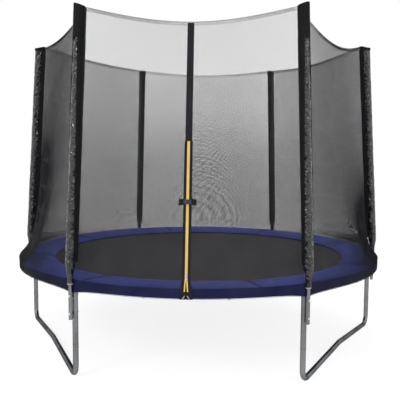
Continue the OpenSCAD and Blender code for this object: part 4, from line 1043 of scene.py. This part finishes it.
sleeves, foam_rings = [], []
for number, place in enumerate(pole_names):
    runs = np.concatenate([np.linspace(low_run + 8, neck_run, 9), np.linspace(neck_run, full_run, 15)[1:],
                           np.linspace(full_run, pole_run - 3, 170)[1:]])
    wide = neck_d / 2 + (foam_d - neck_d) / 2 * smoothstep((runs - neck_run) / (full_run - neck_run))
    pleat = 0.8 * np.exp(-np.maximum(0, runs - neck_run) / 45)
    r = wide[:, None] - pleat[:, None] * (1 + np.cos(13 * around + number)[None, :])
    runs, angle = runs[:, None], around[None, :]
    r = r - crease(on_pole(number, runs, r * np.cos(angle), r * np.sin(angle)), number) * np.minimum(1,
                                                                                                     r / 36)
    outer = on_pole(number, runs, r * np.cos(angle), r * np.sin(angle))
    under = outer[..., 2] < neck_z - 3
    away = np.hypot(outer[..., 0], outer[..., 1])
    push = np.where(under & (away < net_r0 + 2), (net_r0 + 2) / away, 1)
    outer[..., 0] *= push
    outer[..., 1] *= push
    bore = on_pole(number, runs[::-1], 13.2 * np.cos(angle), 13.2 * np.sin(angle))
    rows = np.concatenate([outer, bore])
    n, m = rows.shape[:2]
    faces = [[k * m + c, k * m + (c + 1) % m, (k + 1) % n * m + (c + 1) % m, (k + 1) % n * m + c]
             for k in range(n) for c in range(m)]
    sleeve = smooth(make_piece(f"foam_sleeve_film_{place}", rows.reshape(-1, 3), faces,
                               finishes["foam_cover"]), 60)
    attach(sleeve, "root")
    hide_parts(f"foam_sleeve_{place}")
    sleeves.append(sleeve)
    ends = [(low_run, 14), (low_run, 17.5), (low_run + 1.2, 18.6), (low_run + 9, 18.6), (low_run + 9, 14)]
    rows = np.stack([on_pole(number, run, r * np.cos(around), r * np.sin(around)) for run, r in ends])
    away = np.hypot(rows[..., 0], rows[..., 1])
    rows[..., :2] *= np.maximum(1, (net_r0 + 2) / away)[..., None]
    n, m = rows.shape[:2]
    faces = [[k * m + c, k * m + (c + 1) % m, (k + 1) % n * m + (c + 1) % m, (k + 1) % n * m + c]
             for k in range(n) for c in range(m)]
    ring = smooth(make_piece(f"foam_end_{place}", rows.reshape(-1, 3), faces, finishes["grey_foam"]), 40)
    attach(ring, "root")
    foam_rings.append(ring)
print(len(sleeves), "sleeves of", len(sleeves[0].data.polygons), "faces")

# %% [markdown]
# ## Pockets of the net
#
# The net has a pocket of black cloth for each pole. It wraps the side of the sleeve that faces the mat and
# is sewn to the net along two seams, and at the top it closes to a cap that slips over the sleeve's end.
# The cap's mouth is cut at a slant, lower towards the mat.

# %% Pocket cloth
seam_x, seam_y, wrap = foam_d / 2 + 20, 9.5, foam_d / 2 + 1.6
pocket_low, cap_high = full_run + foam_d * math.tan(pole_lean), pole_run + 24


def pocket_section(edge, grow=0.0):
    """Half a pocket's section, from edge degrees round to the seam on the net, as x and y."""
    r = wrap + grow
    touch = max(edge, 180 - 48)
    arc = np.radians(np.linspace(edge, touch, 20))
    side = np.linspace(0, 1, 7)[1:]
    x = np.concatenate([r * np.cos(arc), r * math.cos(arc[-1])
                        + (-seam_x + 1.4 - r * math.cos(arc[-1])) * side])
    y = np.concatenate([r * np.sin(arc), r * math.sin(arc[-1]) + (seam_y - r * math.sin(arc[-1])) * side])
    x, y = np.append(x, -seam_x + 0.2), np.append(y, seam_y - 1.6)
    return x, y


def fold(points, number, size):
    """Soft folds of the cloth in millimetres."""
    out = [noise.noise(Vector((p[0] * 9, p[1] * 9, p[2] * 6 + 5 * number))) + 0.5
           * noise.noise(Vector((p[0] * 28, p[1] * 28, p[2] * 15))) for p in points.reshape(-1, 3) * mm]
    return size * np.array(out).reshape(points.shape[:-1])


pockets = []
for number, place in enumerate(pole_names):
    door_pole, door_way = "front" in place, 1 if place == "front_left" else -1
    cap_run = pole_run - (205 if door_pole else 14)
    low_edge, high_edge = (74, 33) if door_pole else (154, 146)
    rows = []
    for run in np.linspace(pocket_low, cap_run + 14, 120):
        t = (run - pocket_low) / (cap_run - pocket_low)
        x, y = pocket_section(low_edge + (high_edge - low_edge) * t)
        rows.append(on_pole(number, run, np.concatenate([x, x[::-1]]), np.concatenate([y, -y[::-1]])))
    rows = np.stack(rows)
    out = unit(rows - on_pole(number, np.linspace(pocket_low, cap_run + 14, 120)[:, None], 0, 0))
    slack = fold(rows, number, 1.0)
    strip = cloth("strip", rows + out * np.maximum(slack, -0.2)[..., None], 1.1, finishes["pocket_cloth"])
    rows = []
    for t in np.linspace(0, 1, 20):
        x, y = pocket_section(0.5, 1.6)
        x, y = np.concatenate([x, x[::-1]]), np.concatenate([y, -y[::-1]])
        lower = np.clip(-x / seam_x, 0, 1)
        if door_pole:
            towards_door = (-x + door_way * y) / (math.sqrt(2) * wrap)
            towards_front = np.maximum(0, x + door_way * y) / (math.sqrt(2) * wrap)
            high = cap_high - 18 * np.clip(0.5 + towards_door / 2, 0, 1) - 4 * towards_front ** 2
        else:
            high = cap_high - 18 * np.clip(0.5 + x / (2 * wrap), 0, 1) - 8 * (y / wrap) ** 2
        low = cap_run + 3 * np.sin(y / 7)
        rows.append(on_pole(number, low + (high - low) * t, x + (1.6 * lower), y))
    rows = np.stack(rows)
    out = unit(rows - on_pole(number, np.linspace(cap_run, cap_high, 20)[:, None], 0, 0))
    slack = fold(rows, number + 9, 1.1)
    cap = cloth("cap", rows + out * np.maximum(slack, -0.3)[..., None], 1.1, finishes["pocket_cloth"],
                closed=True)
    pocket = joined(f"pole_pocket_{place}", [strip, cap])
    runs = np.linspace(pocket_low, cap_run, 120)
    seams = [on_pole(number, runs, -seam_x + 8 + 0 * runs, side * (seam_y + 5.2)) for side in (-1, 1)]
    for side in (-1, 1):
        edge = np.radians(3 + np.interp(runs, [pocket_low, cap_run], [low_edge, high_edge]))
        seams.append(on_pole(number, runs, (wrap + 0.9) * np.cos(edge), side * (wrap + 0.9) * np.sin(edge)))
    sewn = stitches(f"pole_pocket_stitches_{place}", seams, finishes["stitching"], thick=0.9)
    for piece in (pocket, sewn):
        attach(piece, "root")
    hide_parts("net_pole_pockets")
    size = area_of(pocket)
    pockets.append(pocket)
print(len(pockets), "pockets of", round(size, 3), "m2")

# %% [markdown]
# ## The net
#
# The net is knitted from thin black thread into small diamonds. Its see-through grey depends on how steeply
# one looks through it, and only real threads give that, so each panel is a lattice of threads on the
# net's surface. Lines run both ways across the panel's own coordinates, and nodes grow a thread on each.

# %% The net's threads
mesh_pitch, mesh_tilt = 4.1, math.radians(38)


def thread_share(z, square_on):
    """Share of the mesh's pitch that a thread fills at height z: the knit is closer where people lean."""
    shares = [0.2, 0.3, 0.3, 0.255, 0.15] if square_on else [0.315, 0.315, 0.3, 0.27, 0.24]
    return np.interp(z, [640, 720, 1000, 1550, 1900], shares)


def billow(a, z):
    """How far the net swells out, in millimetres, at angle a from the panel's middle and height z."""
    low = np.exp(-np.maximum(0, z - net_over_z) / 260)
    loose = np.clip((z - net_over_z + 60) / 120, 0, 1)
    waves = 2.6 * np.sin(np.radians(a * 14 + z * 0.06)) + 1.8 * np.sin(np.radians(a * 31 - z * 0.11 + 40))
    ease = np.cos(np.radians(a * 3)) ** 0.5
    return loose * ease * (low * (4.4 + waves) + (1 - low) * 0.8 * (1 + np.sin(np.radians(a * 9 + z * 0.2))))


def net_point(u, v, middle, door=False, low_share=0.055):
    """A point of a panel: u runs from 0 to 1 across it, v from 0 at its lower edge to 1 at its top hem."""
    u, v = np.asarray(u, float), np.asarray(v, float)
    a = (u - 0.5) * (pole_step - 0.04)
    low, top = net_low(a), net_top(a, middle) - hem_h + 2
    z = np.where(v < low_share, low + (net_over_z - low) * v / low_share,
                 net_over_z + (top - net_over_z) * (v - low_share) / (1 - low_share))
    swell = billow(a, z)
    if door:
        swell = swell * np.clip(np.abs(a) / 8, 0, 1) ** 2
    return polar(net_radius(a, z, door) + swell, middle + a, z)


def lattice(middle, door=False, span=(0.0, 1.0)):
    """Lines of thread over a panel, in two directions, as lists of points."""
    width, height = 1520.0, 1820.0
    shift = math.tan(mesh_tilt) * height / width
    gap = mesh_pitch / math.cos(mesh_tilt) / width
    levels = np.concatenate([[0, 0.03, 0.055, 0.075, 0.1, 0.14, 0.19, 0.26, 0.36, 0.48, 0.62, 0.8, 1.0]])
    lines = []
    for way in (-1, 1):
        start = span[0] - (shift if way > 0 else 0)
        end = span[1] + (0 if way > 0 else shift)
        for u0 in np.arange(start + gap / 2, end, gap):
            v_in, v_out = sorted(((span[0] - u0) / (way * shift), (span[1] - u0) / (way * shift)))
            v_in, v_out = max(0.0, v_in), min(1.0, v_out)
            if v_out - v_in < 0.004:
                continue
            v = np.concatenate([[v_in], levels[(levels > v_in + 0.004) & (levels < v_out - 0.004)], [v_out]])
            points = net_point(u0 + way * shift * v, v, middle, door)
            points[:, :2] *= 1 + (way * 0.25 - 0.4) / 1500
            lines.append(points)
    return lines


# %% Five closed panels and the two halves of the door
panel_names = ["right_back", "back", "left_back", "left_front", "front", "right_front"]
zip_share = math.degrees(6 / ring_r) / pole_step
nets = []
for number, place in enumerate(panel_names):
    middle = 30 + 60 * number
    if place == "front":
        made = [(f"net_door_{side}_threads", lattice(middle, True, span), f"net_door_{side}",
                 (span[1] - span[0]))
                for side, span in (("left", (0, 0.5 - zip_share)), ("right", (0.5 + zip_share, 1)))]
    else:
        made = [(f"net_panel_{place}", lattice(middle), "net_wall", 1.0)]
    square_on = place in ("front", "back")
    for name, lines, node, share in made:
        panel = wires(name, lines, mesh_pitch * math.sqrt(2), finishes["net_black"], sides=4,
                      flatness=0.5 if square_on else 0.3,
                      girth=thread_share(np.concatenate(lines)[:, 2], square_on))
        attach(panel, "root")
        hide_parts(node)
        nets.append((panel, share))
        print(name, len(lines), "threads,", 2 * len(panel.data.polygons), "triangles")

# %% [markdown]
# ## The net's top hem
#
# The net's upper edge is folded over and sewn down, and it sags between the poles. The fold is two more
# layers of the same thread, so the hem looks darker than the net and still lets light through. A thin cord
# runs inside the fold.

# %% The top hem
def hem_threads(middle, door):
    """Threads across the fold: two layers, each in two directions."""
    gap = math.degrees(mesh_pitch / math.cos(mesh_tilt) / 1400)
    reach = math.degrees(hem_h * math.tan(mesh_tilt) / 1400)
    lines = []
    for layer in (-1.7, 0.1):
        for way in (-1, 1):
            for a in np.arange(-29.9, 29.9, gap):
                a = np.clip(a + way * reach * np.array([0, 0.5, 1]), -29.98, 29.98)
                z = net_top(a, middle) - hem_h * np.array([1, 0.5, 0.04])
                lines.append(polar(net_radius(a, z, door) + layer + way * 0.15, middle + a, z))
    return lines


for number, place in enumerate(panel_names):
    middle, door = 30 + 60 * number, place == "front"
    a = np.linspace(-29.9, 29.9, 61)
    top = net_top(a, middle)
    band = wires(f"net_hem_{place}", hem_threads(middle, door), mesh_pitch * math.sqrt(2),
                 finishes["net_black"],
                 sides=4, flatness=0.5, girth=0.17)
    cord = wires("cord", [polar(net_radius(a, top - 1, door) - 0.8, middle + a, top - 1)], 2.0,
                 finishes["net_black"])
    band = joined(band.name, [band, cord])
    rowed = [polar(net_radius(a, top - lift, door) + 0.6, middle + a, top - lift) for lift in (5, hem_h - 2)]
    sewn = stitches(f"net_hem_stitches_{place}", rowed, finishes["stitching"], thick=0.7)
    for piece in (band, sewn):
        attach(piece, "root")
    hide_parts("net_hem")

# %% [markdown]
# ## Elastic ties
#
# Flat elastic straps hold the net's lower edge down. Each runs from the edge inwards under the ring's tube
# and up its inner side. A round white elastic loops below the door.

# %% Ties and the loop
ties = []
bend = [(ring_r + 20.8 * math.cos(t), ring_z + 20.8 * math.sin(t))
        for t in np.radians(np.arange(-58, -201, -12))]
for number in range(pole_count):
    for a in (pole_step / 3, pole_step * 2 / 3):
        compass = pole_step * number + a
        low = float(net_low(pole_step / 6))
        path = [(net_r0 - 0.6, low - 2.2), (net_r0 - 6, low - 2.6)] + bend
        path = np.array([polar(r, compass, z) for r, z in path]).reshape(-1, 3)
        side = polar(1, compass + 90, 0)
        ties.append(ribbon("tie", path, side, 12, 1.5, finishes["elastic_white"]))
tie_set = joined("net_elastic_ties", ties)
loop_y, door_low_z = -net_r0 - 3.7, float(net_low(0)) + 2
loops = [np.array([(side * 8, loop_y, door_low_z + 24), (side * 11, loop_y - 0.8, door_low_z + 18.5),
                   (side * 18, loop_y - 0.9, door_low_z + 8.5), (side * 23, loop_y, door_low_z)])
                   for side in (-1, 1)]
door_loop = wires("door_elastic_loop", loops, 3.0, finishes["elastic_white"], sides=8)
for piece in (tie_set, door_loop):
    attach(piece, "root")
    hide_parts("net_ties")
print(len(ties), "ties and", len(loops), "strands of the loop")

# %% [markdown]
# ## The door's zip
#
# The door closes with one long zip. A yellow tape carries the teeth and black webbing stiffens the net on
# both sides. Below the slider the zip is open: the tape and the webbing spread apart to the pad's edge.

# %% Webbing beside the zip, and the band above it
zip_top_z, slider_z, zip_low_z, band_w, web_t, zip_w = 1580.0, 742.0, 658.0, 44.0, 1.6, 16.0


def door_run(z):
    """Distance of height z up the door's line from the pad's edge, and below 0 down over that edge."""
    return (z - net_over_z) / (math.cos(door_lean) if z > net_over_z else 1)


def on_door(x, y, run):
    """Points on the door's line: x across it, y into the net and run up it."""
    x, y, run = np.broadcast_arrays(*(np.asarray(v, float) for v in (x, y, run)))
    lean = np.select([run > 0, run < 0], [door_lean, 0.0], door_lean / 2)
    y = np.where(run == 0, y / math.cos(door_lean / 2), y)
    return np.stack([x, -net_r0 + y * np.cos(lean) + run * np.sin(lean),
                     net_over_z - y * np.sin(lean) + run * np.cos(lean)], axis=-1)


web_low, zip_low = door_run(door_low_z), door_run(zip_low_z)
split_run, top_run = door_run(slider_z), door_run(zip_top_z)
runs = np.concatenate([np.linspace(web_low, zip_low - 8, 6), np.linspace(zip_low - 0.3, 0, 5),
                       np.linspace(0, split_run, 9)[1:], np.linspace(split_run, top_run, 80)[1:]])
spread_in = np.interp(runs, [zip_low - 8, zip_low - 0.3, split_run], [2.0, 14.3, 8.3])
spread_out = np.interp(runs, [web_low, zip_low, split_run], [42.0, 38.0, 26.3])
pieces, sewn = [], []
for side in (-1, 1):
    places = np.linspace(0, 1, 6)
    x = spread_in[:, None] + (spread_out - spread_in)[:, None] * places[None, :]
    y = -1.75 - 0.15 * np.sin(np.pi * places)[None, :] + 0 * x
    if side < 0:
        x = -x[:, ::-1]
    pieces.append(cloth("webbing", on_door(x, y, runs[:, None]), 1.45, finishes["webbing_black"]))
    for share in (0.14, 0.86):
        sewn.append(on_door(side * (spread_in + (spread_out - spread_in) * share), -2.0, runs))
flap_runs = np.concatenate([np.linspace(web_low + 2, 0, 7), np.linspace(0, split_run, 6)[1:]])
pieces.append(cloth("flap", on_door(np.linspace(-11, 11, 4)[None, :], -0.2, flap_runs[:, None]), 1.0,
                    finishes["webbing_black"]))
band_runs = np.linspace(top_run + 0.5, door_run(door_top_z) - 8, 70)
x = np.linspace(-band_w / 2, band_w / 2, 9)
pieces.append(cloth("band", on_door(x[None, :], -1.75 - 0.15 * np.cos(np.pi * x / band_w)[None, :],
                                    band_runs[:, None]), 1.45, finishes["webbing_black"]))
sewn += [on_door(side * (band_w / 2 - 3), -2.0, band_runs) for side in (-1, 1)]
webbing = joined("zip_webbing_strips", pieces)
web_seams = stitches("zip_webbing_stitches", sewn, finishes["stitching"], thick=0.8)
for piece in (webbing, web_seams):
    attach(piece, "root")
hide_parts("zip_webbing")
print(len(sewn), "rows of stitches beside the zip")

# %% The yellow tape and its teeth
pieces = []
for side in (-1, 1):
    near, far = (0.25, zip_w / 2) if side > 0 else (-zip_w / 2, -0.25)
    across = np.linspace(near, far, 5)
    pieces.append(cloth("tape", on_door(across[None, :],
                                        -1.7 - 0.1 * np.sin(np.pi * np.linspace(0, 1, 5))[None, :],
                                        np.linspace(split_run, top_run, 60)[:, None]), 1.3,
                                        finishes["zip_yellow"]))
    low_runs = np.concatenate([np.linspace(zip_low, 0, 5), np.linspace(0, split_run - 0.3, 9)[1:]])
    t = (split_run - low_runs) / (split_run - zip_low)
    x = np.linspace(0.2, 8, 5)[None, :] + (6 * t)[:, None]
    x = x if side > 0 else -x[:, ::-1]
    pieces.append(cloth("tape_end", on_door(x, -1.7, low_runs[:, None]), 1.3, finishes["zip_yellow"]))
tape = joined("zip_yellow_tape", pieces)
box = [(x, y, z) for x in (-2.4, 2.4) for y in (-1.0, -0.05) for z in (-0.5, 0.5)]
tooth = make_piece("tooth", box, [(0, 1, 3, 2), (4, 6, 7, 5), (0, 4, 5, 1), (2, 3, 7, 6), (0, 2, 6, 4),
                                  (1, 5, 7, 3)])
work = bmesh.new()
work.from_mesh(tooth.data)
bmesh.ops.bevel(work, geom=work.edges[:], offset=0.28 * mm, segments=1, affect="EDGES")
bmesh.ops.recalc_face_normals(work, faces=work.faces)
work.to_mesh(tooth.data)
work.free()
tooth_runs = np.arange(split_run + 22, top_run - 2, 1.7)
zip_up = on_door(0, 0, 1) - on_door(0, 0, 0)
teeth = set_out("zip_teeth", tooth, on_door(0 * tooth_runs, -1.75, tooth_runs), (1, 0, 0), zip_up,
                finishes["zip_yellow"])
for piece in (tape, teeth):
    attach(piece, "root")
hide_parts("zip_tape")
print(len(tooth_runs), "teeth,", len(teeth.data.polygons), "faces")

# %% [markdown]
# ## The door's buckle
#
# A side-release buckle on a short strap keeps the door shut when the zip is open. Its plug slides out of the
# socket to the right. The two halves are rounded boxes, and the plug's prongs lie in a slot in the socket.

# %% The buckle's two halves
buckle_y, buckle_run = -1.9 - 10, door_run(1200.0)
net_fall = 0.08


def on_buckle(points):
    """Points given as x across the door, y up it and z outwards from the buckle's back."""
    points = np.asarray(points, float)
    return on_door(points[..., 0], buckle_y - points[..., 2], buckle_run + points[..., 1])


def rounded_box(name, low, high, bevel, finish):
    """A box with rounded edges, in the buckle's own frame."""
    work = bmesh.new()
    bmesh.ops.create_cube(work, size=1)
    for v in work.verts:
        v.co = [lo + (hi - lo) * (c + 0.5) for lo, hi, c in zip(low, high, v.co)]
    bmesh.ops.bevel(work, geom=work.edges[:], offset=bevel, segments=3, affect="EDGES")
    points = np.array([v.co for v in work.verts])
    faces = [[v.index for v in f.verts] for f in work.faces]
    work.free()
    return make_piece(name, on_buckle(points), faces, finish)


def facing_out(piece):
    work = bmesh.new()
    work.from_mesh(piece.data)
    bmesh.ops.recalc_face_normals(work, faces=work.faces)
    work.to_mesh(piece.data)
    work.free()
    return smooth(piece, 50)


def cut(piece, *cutters):
    for cutter in cutters:
        step = piece.modifiers.new("cut", "BOOLEAN")
        step.operation, step.solver, step.object = "DIFFERENCE", "EXACT", cutter
        apply_modifiers(piece)
        bpy.data.objects.remove(cutter)
    return piece


plastic = finishes["black_plastic"]
shell = facing_out(rounded_box("socket_shell", (-24, -15, 0), (-0.05, 15, 9), 2.2, plastic))
slot = facing_out(rounded_box("slot", (-16.4, -10.4, 2.2), (4, 10.4, 6.8), 0.5, plastic))
notches = [facing_out(rounded_box("notch", (-16, side * 15.5 - 2.5, -1), (-5, side * 15.5 + 2.5, 10), 2.0,
                                  plastic))
           for side in (-1, 1)]
shell = smooth(cut(shell, slot, *notches), 40)
ring = np.radians(np.arange(0, 360, 15))
button_profile = [(0.01, 9.5), (2.6, 9.45), (3.5, 9.2), (3.8, 8.6), (3.8, 6.85), (0.01, 6.85)]
points = np.concatenate([np.stack([-12 + r * np.cos(ring), r * np.sin(ring), np.full(len(ring), z)], axis=1)
                         for r, z in button_profile])
n, m = len(button_profile), len(ring)
faces = [[k * m + c, k * m + (c + 1) % m, (k + 1) * m + (c + 1) % m, (k + 1) * m + c]
         for k in range(n - 1) for c in range(m)] + [list(range(m)),
                                                     [(n - 1) * m + c for c in range(m)][::-1]]
button = facing_out(make_piece("buckle_button", on_buckle(points), faces, finishes["button_red"]))
body = facing_out(rounded_box("plug_body", (0.35, -15, 0), (24, 15, 9), 2.2, plastic))
prongs = [facing_out(rounded_box("prong", (-16, side * 7.5 - 2.4, 2.6), (3, side * 7.5 + 2.4, 6.4), 1.1,
                                 plastic))
          for side in (-1, 1)]
plug = joined("buckle_plug_body", [body] + prongs)


def strap(side):
    """Half a strap: from under the buckle out and down to its foot, which is sewn to the net."""
    def foot(x):
        return 0.3 - 10 - web_t - net_fall * x + 0.9
    line = [(20, 3.9), (28, 3.9), (33, 3.7), (36, 2.2), (39.5, -4), (42, foot(42) + 1.2), (45, foot(45)),
            (50, foot(50)), (55, foot(55))]
    line = np.array([(side * x, 0, z) for x, z in line])
    fine = np.concatenate([np.linspace(a, b, 4)[:-1] for a, b in zip(line, line[1:])] + [line[-1:]])
    fine[1:-1] = (fine[:-2] + 2 * fine[1:-1] + fine[2:]) / 4
    path = on_buckle(fine)
    piece = ribbon("buckle_strap", path if side > 0 else path[::-1], zip_up, 38, 1.7,
                   finishes["webbing_black"])
    corners = [(47, -16), (54, -16), (54, 16), (47, 16), (47, -16), (54, 16)]
    seam = [on_buckle([(side * x, y, foot(x) + 0.95) for x, y in np.linspace(a, b, 8)])
            for a, b in zip(corners, corners[1:])]
    seam += [on_buckle([(side * x, y, foot(x) + 0.95) for x, y in np.linspace((47, 16), (54, -16), 8)])]
    return piece, stitches("buckle_strap_stitches", seam, finishes["stitching"], thick=0.8)


for side, body_name, pieces in ((-1, "root", [shell, button]), (1, "plug", [plug])):
    for piece in pieces:
        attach(piece, body_name)
        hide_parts("buckle_socket" if side < 0 else "buckle_plug")
    for piece in strap(side):
        piece.name = piece.name.split(".")[0] + ("_left" if side < 0 else "_right")
        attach(piece, body_name)
print("buckle shell", len(shell.data.polygons), "faces")

# %% The net's panels as cut sheets
panel_index = {place: k for k, place in enumerate(panel_names)}


for panel, share in nets:
    place = "front" if "door" in panel.name else panel.name.replace("net_panel_", "")
    u, v = np.linspace(0, 1, 41), np.linspace(0, 1, 41)
    grid = np.stack([net_point(u, value, 30 + 60 * panel_index[place], place == "front") for value in v])
    across = np.diff(grid, axis=1)[:-1]
